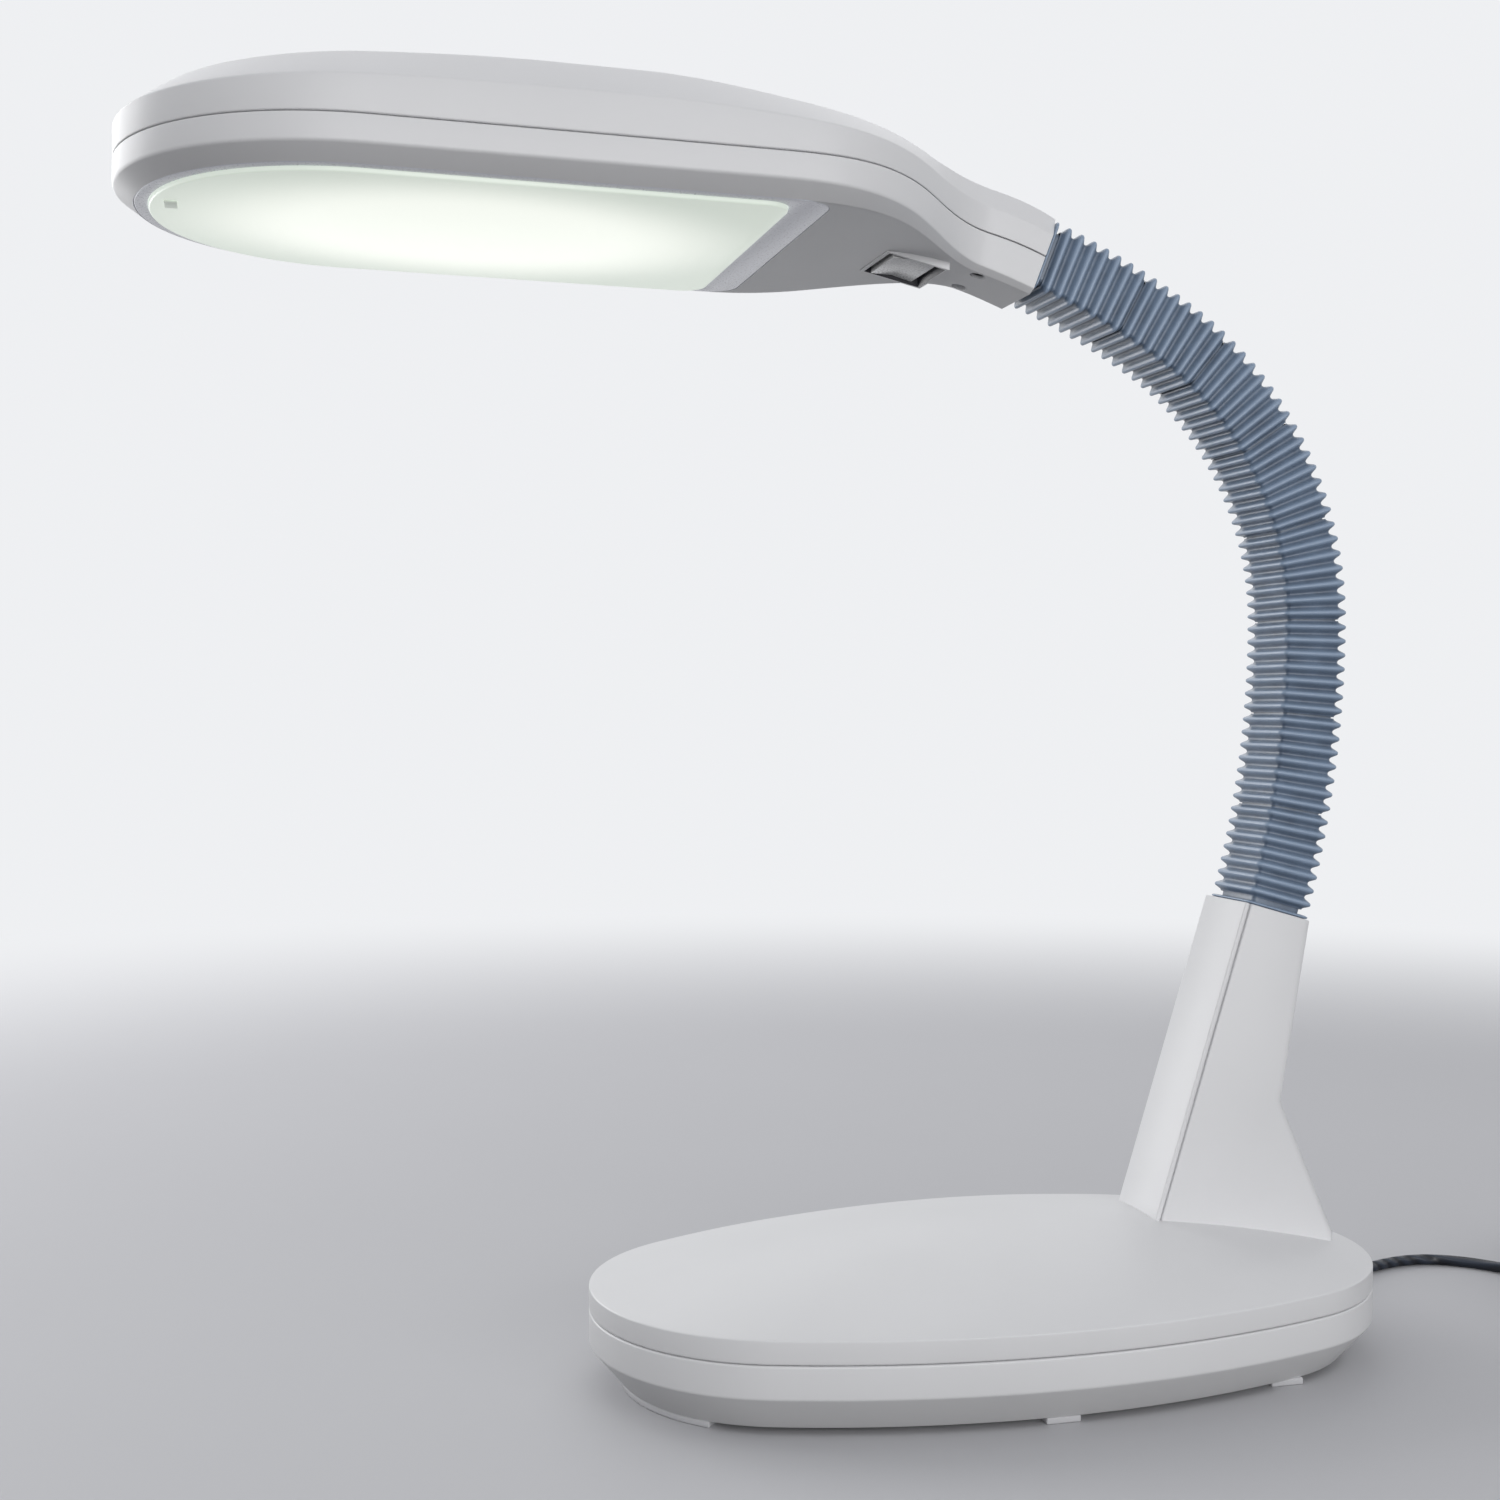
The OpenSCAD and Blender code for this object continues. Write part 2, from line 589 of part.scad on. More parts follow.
upper_plate_s = 9;
upper_plate_w = 17.4;
upper_stalk_s = upper_plate_s + nut_h + 2;
module neck_upper_fitting() {
    color(steel) difference() {
        union() {
            translate(hinge(lengths)) sphere(d = core_ball_d);
            at_neck_end(-hinge_in) cylinder(d = core_tube_d, h = hinge_in + upper_stalk_s);
            at_neck_end(upper_plate_s - plate_t / 2)
                cube([upper_plate_w, upper_plate_w, plate_t], center = true);
        }
        at_neck_end(-hinge_in - core_ball_d)
            cylinder(d = core_bore, h = core_ball_d + hinge_in + upper_stalk_s + over);
    }
}
module neck_upper_nut() {
    color(steel) at_neck_end(upper_plate_s) difference() {
        cylinder(d = nut_d, h = nut_h, $fn = 6);
        translate([0, 0, -over]) cylinder(d = core_tube_d, h = nut_h + 2 * over);
    }
}

// Head: own frame with x = 0 at the collar's end and z = 0 in the plane of the lens frame
head_drop = 2.7;
module head_place() {
    translate(neck_end) rotate([0, head_tilt, 0]) translate([0, 0, -head_drop]) children();
}
collar_slope = 90 + neck_end_angle - head_tilt;
// Where the top falls towards the tip, to the waist and along the collar: fall, start and length
tip_fall = [4.8, 165, 110];
waist_fall = [7.7, 140, 85];
collar_fall = [11.3, 37];
low_fall = 0.00263;
low_fall_start = 62;
seam_fall = 0.00318;
seam_fall_start = 56.3;
shear_start = 40;
collar_len = 19.6;
collar_edge = 0.35;
waist_skew = 1.62;
head_seam = 12;
head_band = 4.3;
bevel_share = 0.52;
function low_z(x) = -low_fall * pow(max(x + low_fall_start, 0), 2);
function seam_z(x) = head_seam - seam_fall * pow(max(x + seam_fall_start, 0), 2);
function top_z(x) = head_h - tip_fall[0] * smooth((-x - tip_fall[1]) / tip_fall[2])
    - waist_fall[0] * smooth((x + waist_fall[1]) / waist_fall[2])
    - collar_fall[0] * pow(max(x / collar_fall[1] + 1, 0), 1.5);
function shear(x) = tan(collar_slope) * smooth((x + shear_start) / shear_start);
function side_half(x) = lerp(head_r, collar_half,
    smooth(pow(max(x + waist_start, 0) / (waist_start - collar_len), waist_skew)));
function edge_scale(x) = lerp(1, collar_edge, smooth((x + waist_start) / waist_start));
tip_angles = [0:15:75];
waist_stations = [for (t = [0:0.0625:1]) -waist_start * (1 - t)];
head_stations = concat([for (t = [0:0.25:0.75]) lerp(-head_tip_back, -waist_start, t)], waist_stations);
// Layers of the skin: low edge, side band's foot, seam, foot of the bevel, top
on_low = 0;
on_band = 1;
on_seam = 2;
on_bevel = 3;
on_top = 4;
function layer_z(u, x) = u == on_low ? low_z(x) : u == on_band ? low_z(x) + head_band * edge_scale(x)
    : u == on_seam ? seam_z(x) : u == on_bevel ? lerp(seam_z(x), top_z(x), bevel_share) : top_z(x);
seam_gap = 0.2;

function head_at(x, y, u, lift) = let (z = layer_z(u, x) + lift) [x + shear(x) * (z - head_drop), y, z];
// Half a ring of the head's skin on a layer: edge inset d, wall w and lift
function head_half(u, d, w, lift) = concat(
    [for (a = tip_angles) let (r = head_r - d - w)
        head_at(-head_tip_back - r * cos(a), -r * sin(a), u, lift)],
    [for (x = head_stations) head_at(min(x, -w), w + d * edge_scale(x) - side_half(x), u, lift)]);
function flip(p) = [p[0], -p[1], p[2]];
function head_ring(u, d, w = 0, lift = 0) = let (h = head_half(u, d, w, lift), n = len(h))
    concat(h, [for (i = [n - 1:-1:1]) flip(h[i])]);

head_boss_d = 7.2;
collar_boss_d = 5.8;
head_boss = [-21, 8.2];
head_screw_d = 2.6;
head_screw_head_d = 4.6;
head_screw_sink = 3;
head_screw_len = 14;
head_boss_top = 16;
module head_top_cover() {
    t = head_shell;
    color(white) difference() {
        head_place() difference() {
            union() {
                loft([head_ring(on_top, head_bevel, t, -t), head_ring(on_bevel, 0, t),
                    head_ring(on_seam, 0, t), head_ring(on_seam, 0), head_ring(on_bevel, 0),
                    head_ring(on_top, head_bevel)], ladder = true);
                for (p = tray_boss_spots) translate([p[0], p[1], tray_top_z])
                    cylinder(d = head_boss_d, h = top_z(p[0]) - t / 2 - tray_top_z);
                for (s = [-1, 1]) translate([head_boss[0], s * head_boss[1], head_boss_foot])
                    cylinder(d = collar_boss_d, h = head_boss_top);
                for (s = [-1, 1]) translate([driver_x, s * driver_post_y, driver_z + board_t])
                    cylinder(d = head_boss_d, h = top_z(driver_x) - t / 2 - driver_z - board_t);
            }
            for (p = tray_boss_spots) translate([p[0], p[1], tray_top_z - over])
                cylinder(d = head_screw_d, h = tray_screw_len);
            for (s = [-1, 1]) translate([head_boss[0], s * head_boss[1], head_boss_foot - over])
                cylinder(d = head_screw_d, h = head_boss_top - over);
        }
        collar_bore();
    }
}
// Mouth of the collar, wide enough for the neck's last seat to swing in
module collar_bore() {
    at_neck_end(-2 * over) cylinder(d = cuff_bore, h = upper_plate_s - plate_t);
}

head_boss_foot = 4;
module head_bottom_cover() {
    t = head_shell;
    boss_z = low_z(head_boss[0]);
    color(white) difference() {
        head_place() difference() {
            union() {
                loft([head_ring(on_low, head_chamfer), head_ring(on_band, 0),
                    head_ring(on_seam, 0, 0, -seam_gap), head_ring(on_seam, 0, t, -seam_gap),
                    head_ring(on_band, 0, t), head_ring(on_low, head_chamfer, t, t)], ladder = true);
                for (s = [-1, 1]) translate([head_boss[0], s * head_boss[1], boss_z + t / 2])
                    cylinder(d = collar_boss_d, h = head_boss_foot - boss_z - t / 2);
            }
            translate([0, 0, -2 * over]) linear_extrude(3 * over + frame_h)
                racetrack(frame_r + slip_gap, -frame_rear + slip_gap, frame_corner);
            translate([switch_x, 0, 0])
                cube([switch_len + 2 * slip_gap, switch_wid + 2 * slip_gap, head_h], center = true);
            for (s = [-1, 1]) translate([head_boss[0], s * head_boss[1], boss_z - 3 * over]) {
                cylinder(d = head_screw_d + 2 * fit_gap, h = head_screw_len);
                cylinder(d = head_screw_head_d + 2 * slip_gap, h = 3 * over + head_screw_sink);
            }
        }
        collar_bore();
    }
}

module head_screws() {
    color(steel) head_place() for (s = [-1, 1])
        translate([head_boss[0], s * head_boss[1], low_z(head_boss[0]) + head_screw_sink]) {
            translate([0, 0, -screw_head_h]) cylinder(d = head_screw_head_d, h = screw_head_h);
            cylinder(d = head_screw_d, h = head_screw_len);
        }
}

// Lens frame, lens and what lies above them
frame_r = head_r - head_chamfer;
frame_h = 1.8;
frame_corner = 10;
lens_r = frame_r - frame_border;
lens_rear = frame_rear + frame_bar;
lens_corner = 8;
lens_flange = 2;
lens_flange_t = 1.2;
module racetrack(r, x_rear, corner) {
    translate([-head_tip_back, 0]) circle(r = r, $fn = 96);
    translate([-head_tip_back, -r]) square([x_rear - corner + head_tip_back, 2 * r]);
    translate([-head_tip_back, corner - r]) square([x_rear + head_tip_back, 2 * (r - corner)]);
    for (s = [-1, 1]) translate([x_rear - corner, s * (r - corner)]) circle(r = corner);
}
module lens_frame() {
    color(shade) head_place() difference() {
        linear_extrude(frame_h) racetrack(frame_r, -frame_rear, frame_corner);
        translate([0, 0, -over]) linear_extrude(frame_h + 2 * over)
            racetrack(lens_r + slip_gap, -lens_rear + slip_gap, lens_corner);
    }
}
module lens() {
    color([0.94, 0.98, 0.93]) head_place() {
        translate([0, 0, -lens_proud]) linear_extrude(lens_proud + frame_h)
            racetrack(lens_r, -lens_rear, lens_corner);
        translate([0, 0, frame_h]) linear_extrude(lens_flange_t)
            racetrack(lens_r + lens_flange, -lens_rear + lens_flange, lens_corner);
    }
}
catch_len = 3.6;
catch_w = 6.8;
catch_h = 0.6;
catch_in = 4.6;
catch_side = 10;
module lens_catch() {
    color(shade) head_place()
        translate([catch_in - head_tip_back - lens_r, -catch_side - catch_w / 2, -lens_proud - catch_h])
            cube([catch_len, catch_w, catch_h]);
}

tray_z = frame_h + lens_flange_t;
tray_h = 10.2;
tray_wall = 1.5;
tray_top_z = tray_z + tray_h;
board_t = 1.6;
tray_boss_spots = [[-244, 0], [-190, 34], [-190, -34], [-120, 34], [-120, -34]];
tray_screw_len = 9;
tray_roof = tray_top_z - tray_wall;
module reflector_tray() {
    color(white) head_place() difference() {
        translate([0, 0, tray_z]) linear_extrude(tray_h)
            racetrack(lens_r + lens_flange, -lens_rear + lens_flange, lens_corner);
        translate([0, 0, tray_z - over]) linear_extrude(tray_h - tray_wall + over)
            racetrack(lens_r + lens_flange - tray_wall, -lens_rear + lens_flange - tray_wall, lens_corner);
        for (p = tray_boss_spots) translate([p[0], p[1], tray_roof - over])
            cylinder(d = head_screw_d + 2 * slip_gap, h = tray_wall + 2 * over);
    }
}
module tray_screws() {
    color(steel) head_place() for (p = tray_boss_spots) translate([p[0], p[1], tray_roof]) {
        translate([0, 0, -screw_head_h]) cylinder(d = screw_head_d, h = screw_head_h);
        cylinder(d = head_screw_d, h = tray_wall + tray_screw_len - 2 * over);
    }
}
board_edge = 4;
module led_board() {
    color([0.92, 0.93, 0.90]) head_place() difference() {
        translate([0, 0, tray_roof - board_t]) linear_extrude(board_t)
            racetrack(lens_r - board_edge, -lens_rear - board_edge, lens_corner);
        for (p = tray_boss_spots) translate([p[0], p[1], tray_roof - board_t - over])
            cylinder(d = screw_head_d + 2 * fit_gap, h = board_t + 2 * over);
    }
}
chip = 3;
chip_h = 0.9;
chip_step = 18;
chip_count = 8;
chip_x = -236;
chip_rows = [-44, -17, 17, 44];
module led_chips() {
    color([0.98, 0.93, 0.55]) head_place() for (i = [0:chip_count - 1], y = chip_rows)
        translate([chip_x + i * chip_step - chip / 2, y - chip / 2, tray_roof - board_t - chip_h])
            cube([chip, chip, chip_h]);
}

driver_x = -70;
driver_z = 15;
driver_len = 22;
driver_wid = 64;
driver_post_y = 26;
coil_box = [12, 14, 5];
bridge_box = [9, 9, 4];
can_d = 8;
can_h = 7;
module driver_board() {
    color([0.12, 0.34, 0.20]) head_place() translate([driver_x - driver_len / 2, -driver_wid / 2, driver_z])
        cube([driver_len, driver_wid, board_t]);
}
module driver_parts() {
    color([0.25, 0.25, 0.28]) head_place() translate([driver_x, 0, driver_z]) {
        translate([-6, -24, -coil_box[2]]) cube(coil_box);
        translate([2, 4, -can_h]) cylinder(d = can_d, h = can_h);
        translate([-5, 16, -bridge_box[2]]) cube(bridge_box);
    }
}

// Lead from the neck's last ball through its fitting to the driver board
function end_at(s) = neck_end + s * [sin(neck_end_angle), 0, cos(neck_end_angle)];
function in_head(p) = neck_end + [cos(head_tilt) * p[0] + sin(head_tilt) * (p[2] - head_drop), p[1],
    -sin(head_tilt) * p[0] + cos(head_tilt) * (p[2] - head_drop)];
head_lead_way = [end_at(-hinge_in - core_ball_d / 2 + lead_end_gap), end_at(0), end_at(upper_plate_s),
    end_at(upper_stalk_s), end_at(upper_stalk_s + 4), in_head([-30, 1, 12.6]), in_head([-38, 2, 13.4]),
    in_head([-48, 3, 13.8]), in_head([-56, 3, 13.4]), in_head([-61, 3, 13.3])];
module head_lead() {
    color(black) loft(tube_rings(head_lead_way, lead_d / 2, 8));
}

// Switch: a frame in the opening, and a rocker on two pins
switch_x = -42.7;
switch_low = -2.6;
switch_top = 9;
switch_wall = 2.4;
rocker_gap = 0.9;
room_len = switch_len - 2 * switch_wall;
room_wid = switch_wid - 2 * switch_wall;
rocker_len = room_len - 2 * rocker_gap;
rocker_wid = room_wid - 2 * fit_gap;
rocker_dish = 0.8;
rocker_back = 2;
rocker_z = 2.2;
rocker_pin_len = 1.6;
rocker_low = 4;
module switch_body() {
    color(white) head_place() translate([switch_x, 0, 0]) difference() {
        translate([-switch_len / 2, -switch_wid / 2, switch_low])
            cube([switch_len, switch_wid, switch_top - switch_low]);
        translate([-room_len / 2, -room_wid / 2, switch_low - over])
            cube([room_len, room_wid, switch_top - switch_low + over - switch_wall]);
        translate([0, 0, rocker_z]) rotate([90, 0, 0])
            cylinder(d = rocker_pin_d + 2 * pin_clear, h = room_wid + 2 * rocker_pin_len, center = true);
    }
}
module switch_rocker() {
    h = rocker_len / 2;
    color([0.80, 0.80, 0.83]) head_place() translate([switch_x, 0, rocker_z]) rotate([0, rocker_tilt, 0]) {
        rotate([90, 0, 0]) linear_extrude(rocker_wid, center = true)
            polygon([[-h, -rocker_low - rocker_dish], [0, -rocker_low], [h, -rocker_low - rocker_dish],
                [h, 0], [h / 2, rocker_back], [-h / 2, rocker_back], [-h, 0]]);
        rotate([90, 0, 0])
            cylinder(d = rocker_pin_d, h = room_wid + 2 * rocker_pin_len - 2 * pin_clear, center = true);
    }
}

// Cord: free stretch from the gland along the table to the coil
coil_c = [256, 14];
coil_out_r = 28.8;
tie_t = 1;
coil_z = cord_d / 2 + tie_t + fit_gap;
gland_tip = gland_wall + gland_out * gland_dir;
cord_way = [[146, 40.5, 7.6], [152, 43.7, 6.3], [159, 47.2, 4.4], [167, 50.8, 2.6], [175, 54, 1.95],
    [183, 56.6, 1.95], [191, 58, 1.95], [199, 57.6, 1.95], [206, 55, 1.95], [212, 50.8, 1.95], [217, 45.4, 2],
    [221, 39, 2.2], [224, 32, 2.6], [226, 25, 3], [227, 19, 3.2]];
module power_cord() {
    a = [gland_tip[0], gland_tip[1], gland_z];
    b = [coil_c[0] - coil_out_r, coil_c[1] + fit_gap, coil_z];
    color(black) loft(tube_rings(concat([a], cord_way, [b]), cord_d / 2, 8));
}

// Coil: spirals in and out in four layers, and climbs in the half turn where the spiral reverses
coil_layers = 4;
layer_turns = coil_turns / coil_layers;
loop_rings = 24;
function coil_in(t) = let (m = t % (2 * layer_turns)) m < layer_turns ? m : 2 * layer_turns - m;
function coil_level(t) = let (l = round(t / layer_turns), d = t - l * layer_turns)
    l == 0 ? 0 : l == coil_layers ? coil_layers - 1 : l - 1 + smooth((d + 0.25) * 2);
function coil_point(t) = let (r = coil_out_r - coil_pitch * coil_in(t), a = 180 + 360 * t)
    [coil_c[0] + r * cos(a), coil_c[1] + r * sin(a), coil_z + coil_pitch * coil_level(t)];
coil_pts = [for (i = [0:coil_turns * loop_rings]) coil_point(i / loop_rings)];
tail_len = 18;
coil_tail = [coil_c[0] - coil_out_r, coil_c[1] - tail_len, coil_z + coil_pitch * (coil_layers - 1)];
// Least gap of the coil to itself, between points more than a quarter turn apart along it
near_rings = 6;
last_ring = len(coil_pts) - 1;
coil_apart = [for (i = [0:last_ring], j = [i + near_rings:1:last_ring]) norm(coil_pts[i] - coil_pts[j])];
echo(coil_gap = min(coil_apart) - cord_d);
module cord_coil() {
    color(black) loft(tube_rings(concat(coil_pts, [coil_tail]), cord_d / 2, 6));
}

tie_w = 7;
module cord_tie() {
    lo = coil_out_r - coil_pitch * layer_turns - cord_d / 2 - fit_gap;
    hi = coil_out_r + cord_d / 2 + fit_gap;
    z1 = coil_z + coil_pitch * (coil_layers - 1) + cord_d / 2 + fit_gap;
    color([0.12, 0.12, 0.14]) translate([coil_c[0], coil_c[1] - tie_w / 2, 0]) difference() {
        translate([lo - tie_t, 0, 0]) cube([hi - lo + 2 * tie_t, tie_w, z1 + tie_t]);
        translate([lo, -over, tie_t]) cube([hi - lo, tie_w + 2 * over, z1 - tie_t]);
    }
}

// Wall adapter on the cord's far end, lying on its side beside the coil
relief_len = 16;
adapter_len = 44;
adapter_wid = 30;
adapter_h = 34;
adapter_round = 4;
relief_end_d = 8;
adapter_y = coil_tail[1] - relief_len;
module at_tail(y) {
    translate([coil_tail[0], y, coil_tail[2]]) rotate([90, 0, 0]) children();
}
module adapter_relief() {
    color(black) at_tail(coil_tail[1]) cylinder(d1 = cord_d + 1, d2 = relief_end_d, h = relief_len);
}
module adapter_body() {
    r = adapter_round;
    color(black) translate([coil_tail[0], adapter_y, adapter_h / 2]) rotate([90, 0, 0])
        linear_extrude(adapter_len) {
        square([adapter_wid, adapter_h - 2 * r], center = true);
        square([adapter_wid - 2 * r, adapter_h], center = true);
        for (x = [-1, 1], y = [-1, 1])
            translate([x * (adapter_wid / 2 - r), y * (adapter_h / 2 - r)]) circle(r = r);
    }
}
blade_len = 17;
blade_w = 6.3;
blade_t = 1.5;
blade_apart = 12.7;
blade_in = 14;
module adapter_blades() {
    y = adapter_y - adapter_len + blade_in - blade_t / 2;
    color(steel) for (s = [-1, 1])
        translate([coil_tail[0] + adapter_wid / 2, y + s * blade_apart / 2, (adapter_h - blade_w) / 2])
            cube([blade_len, blade_t, blade_w]);
}

base_top_cover();
base_tray();
base_weight();
base_feet();
base_screws();
cord_gland();
stem_front_cover();
stem_rear_shell();
stem_screw();
stem_lead();
neck_lower_fitting();
neck_lower_nut();
neck_lower_cuff();
neck_sleeve(1);  // neck_sleeve_1
neck_sleeve(2);  // neck_sleeve_2
neck_sleeve(3);  // neck_sleeve_3
neck_sleeve(4);  // neck_sleeve_4
neck_sleeve(5);  // neck_sleeve_5
neck_sleeve(6);  // neck_sleeve_6
neck_sleeve(7);  // neck_sleeve_7
neck_sleeve(8);  // neck_sleeve_8
neck_core(1);  // neck_core_1
neck_core(2);  // neck_core_2
neck_core(3);  // neck_core_3
neck_core(4);  // neck_core_4
neck_core(5);  // neck_core_5
neck_core(6);  // neck_core_6
neck_core(7);  // neck_core_7
neck_core(8);  // neck_core_8
neck_lead(1);  // neck_lead_1
neck_lead(2);  // neck_lead_2
neck_lead(3);  // neck_lead_3
neck_lead(4);  // neck_lead_4
neck_lead(5);  // neck_lead_5
neck_lead(6);  // neck_lead_6
neck_lead(7);  // neck_lead_7
neck_lead(8);  // neck_lead_8
neck_upper_cuff();
neck_upper_fitting();
neck_upper_nut();
head_top_cover();
head_bottom_cover();
head_screws();
lens_frame();
lens();
lens_catch();
reflector_tray();
tray_screws();
led_board();
led_chips();
driver_board();
driver_parts();
head_lead();
switch_body();
switch_rocker();
power_cord();
cord_coil();
cord_tie();
adapter_body();
adapter_blades();
adapter_relief();
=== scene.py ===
import bpy
import bmesh
import json
import math
from mathutils import Matrix, Vector
from mathutils.kdtree import KDTree


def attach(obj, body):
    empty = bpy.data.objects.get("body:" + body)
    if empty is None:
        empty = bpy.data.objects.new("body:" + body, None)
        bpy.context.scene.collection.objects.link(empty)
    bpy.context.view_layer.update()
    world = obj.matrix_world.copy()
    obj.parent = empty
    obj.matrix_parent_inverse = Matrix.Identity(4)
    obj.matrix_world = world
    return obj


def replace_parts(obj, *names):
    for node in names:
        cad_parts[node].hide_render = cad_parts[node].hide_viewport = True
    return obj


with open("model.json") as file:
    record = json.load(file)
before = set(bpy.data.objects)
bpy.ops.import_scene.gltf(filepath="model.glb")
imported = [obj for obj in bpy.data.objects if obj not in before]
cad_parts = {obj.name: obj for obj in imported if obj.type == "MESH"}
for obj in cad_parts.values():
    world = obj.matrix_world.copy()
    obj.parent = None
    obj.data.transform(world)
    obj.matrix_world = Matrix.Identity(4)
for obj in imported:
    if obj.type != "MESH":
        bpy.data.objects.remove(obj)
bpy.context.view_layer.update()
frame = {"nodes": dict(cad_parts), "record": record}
nodes = frame["nodes"]
mm = 0.001
print("frame loaded,", len(nodes), "nodes")

# camera, at the photo's viewing angle
photoCamera = {"lens": 46.956, "azimuth": -14.7, "elevation": 1.2, "distance": 0.611,
               "target": (-0.0797, 0, 0.1977), "nearest": 0.01}


def placeCamera(c):
    bpy.ops.object.select_all(action="DESELECT")
    a, e = math.radians(c["azimuth"]), math.radians(c["elevation"])
    back = Vector((math.sin(a) * math.cos(e), -math.cos(a) * math.cos(e), math.sin(e)))
    turn = back.to_track_quat("Z", "Y").to_euler()
    bpy.ops.object.camera_add(location=Vector(c["target"]) + back * c["distance"], rotation=turn)
    cam = bpy.context.object
    cam.name = "photoCamera"
    cam.data.lens = c["lens"]
    cam.data.clip_start = c["nearest"]
    bpy.context.scene.camera = cam


placeCamera(photoCamera)
print("camera placed")


# small helpers
def lerp(a, b, t):
    return a + (b - a) * t


def ease(t):
    k = min(max(t, 0), 1)
    return (1 - math.cos(math.pi * k)) / 2


def startOn(obj):
    if bpy.context.object and bpy.context.object.mode != "OBJECT":
        bpy.ops.object.mode_set(mode="OBJECT")
    bpy.ops.object.select_all(action="DESELECT")
    obj.select_set(True)
    bpy.context.view_layer.objects.active = obj


def finishMesh(obj, angle=32):
    startOn(obj)
    bpy.ops.object.shade_smooth_by_angle(angle=math.radians(angle))
    return obj


def useModifier(obj, kind, **settings):
    startOn(obj)
    mod = obj.modifiers.new(kind.lower(), kind)
    for key, value in settings.items():
        setattr(mod, key, value)
    bpy.ops.object.modifier_apply(modifier=mod.name)


def easeEdges(obj, width, segments=3, angle=40):
    useModifier(obj, "BEVEL", width=width * mm, segments=segments, limit_method="ANGLE",
                angle_limit=math.radians(angle), use_clamp_overlap=True)


def roundPath(corners, steps=5, share=0.48):
    # corners are (x, y, radius); the ends stay sharp, and a round takes at most a share of a side
    path = []
    for i, (x, y, r) in enumerate(corners):
        p = Vector((x, y))
        if r <= 0 or i in (0, len(corners) - 1):
            path.append(p)
            continue
        a, b = Vector(corners[i - 1][:2]) - p, Vector(corners[i + 1][:2]) - p
        half = a.angle(b) / 2
        cut = min(r / math.tan(half), share * a.length, share * b.length)
        a, b = p + a.normalized() * cut, p + b.normalized() * cut
        for k in range(steps + 1):
            t = k / steps
            path.append(a * (1 - t) ** 2 + p * 2 * t * (1 - t) + b * t ** 2)
    return path


def circlePath(x, y, radius, points):
    turns = [2 * math.pi * k / points for k in range(points)]
    return [Vector((x + radius * math.cos(a), y + radius * math.sin(a))) for a in turns]


def closeEnd(shape, tree, ring, ends):
    n = len(ring)
    loop = [shape.verts[tree.find(Vector(p) * mm)[1]] for p in ring]
    if ends == "fill":
        shape.faces.new(loop)
        return
    shape.faces.new([loop[0], loop[1], loop[n - 1]])
    for i in range(1, (n - 1) // 2):
        shape.faces.new([loop[i], loop[i + 1], loop[n - 1 - i], loop[n - i]])


def skinRings(name, rings, ends="fill", sewReach=1e-7):
    # a grid laid over rings of points and sewn up; ends are filled, laddered or left open
    bpy.ops.object.select_all(action="DESELECT")
    n, m = len(rings[0]), len(rings)
    bpy.ops.mesh.primitive_grid_add(x_subdivisions=n, y_subdivisions=m - 1, size=1)
    obj = bpy.context.object
    obj.name = obj.data.name = name
    for v in obj.data.vertices:
        ring = rings[round((v.co.y + 0.5) * (m - 1))]
        v.co = Vector(ring[round((v.co.x + 0.5) * n) % n]) * mm
    bpy.ops.object.mode_set(mode="EDIT")
    bpy.ops.mesh.select_all(action="SELECT")
    bpy.ops.mesh.remove_doubles(threshold=sewReach)
    if ends != "open":
        shape = bmesh.from_edit_mesh(obj.data)
        shape.verts.ensure_lookup_table()
        tree = KDTree(len(shape.verts))
        for v in shape.verts:
            tree.insert(v.co, v.index)
        tree.balance()
        for ring in (rings[0], rings[-1]):
            closeEnd(shape, tree, ring, ends)
        bmesh.update_edit_mesh(obj.data)
    bpy.ops.mesh.select_all(action="SELECT")
    bpy.ops.mesh.normals_make_consistent(inside=False)
    bpy.ops.object.mode_set(mode="OBJECT")
    return obj


def softCopy(node, name, width, shape=None, sewReach=1e-6, flatAngle=0.5, edgeAngle=35):
    # a copy of a CAD piece with its sharp edges eased, and first reshaped if asked
    obj = bpy.data.objects.new(name, nodes[node].data.copy())
    bpy.context.collection.objects.link(obj)
    startOn(obj)
    bpy.ops.mesh.customdata_custom_splitnormals_clear()
    bpy.ops.object.mode_set(mode="EDIT")
    bpy.ops.mesh.select_all(action="SELECT")
    bpy.ops.mesh.remove_doubles(threshold=sewReach)
    bpy.ops.mesh.dissolve_limited(angle_limit=math.radians(flatAngle))
    bpy.ops.object.mode_set(mode="OBJECT")
    if shape:
        shape(obj)
    easeEdges(obj, width, angle=edgeAngle)
    finishMesh(obj)
    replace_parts(obj, node)
    return obj


# finishes
def newFinish(name):
    mat = bpy.data.materials.new(name)
    mat.use_nodes = True
    return mat, mat.node_tree.nodes, mat.node_tree.links, mat.node_tree.nodes["Principled BSDF"]


def setInputs(node, values):
    for key, value in values.items():
        node.inputs[key].default_value = value


def addNoise(tree, links, coords, scale, detail):
    noise = tree.new("ShaderNodeTexNoise")
    setInputs(noise, {"Scale": scale, "Detail": detail})
    links.new(coords, noise.inputs["Vector"])
    return noise.outputs["Fac"]


def addSpread(tree, links, value, low, high):
    # noise seldom leaves its middle range, which is spread from low to high
    spread = tree.new("ShaderNodeMapRange")
    setInputs(spread, {"From Min": 0.3, "From Max": 0.7, "To Min": low, "To Max": high})
    links.new(value, spread.inputs["Value"])
    return spread.outputs["Result"]


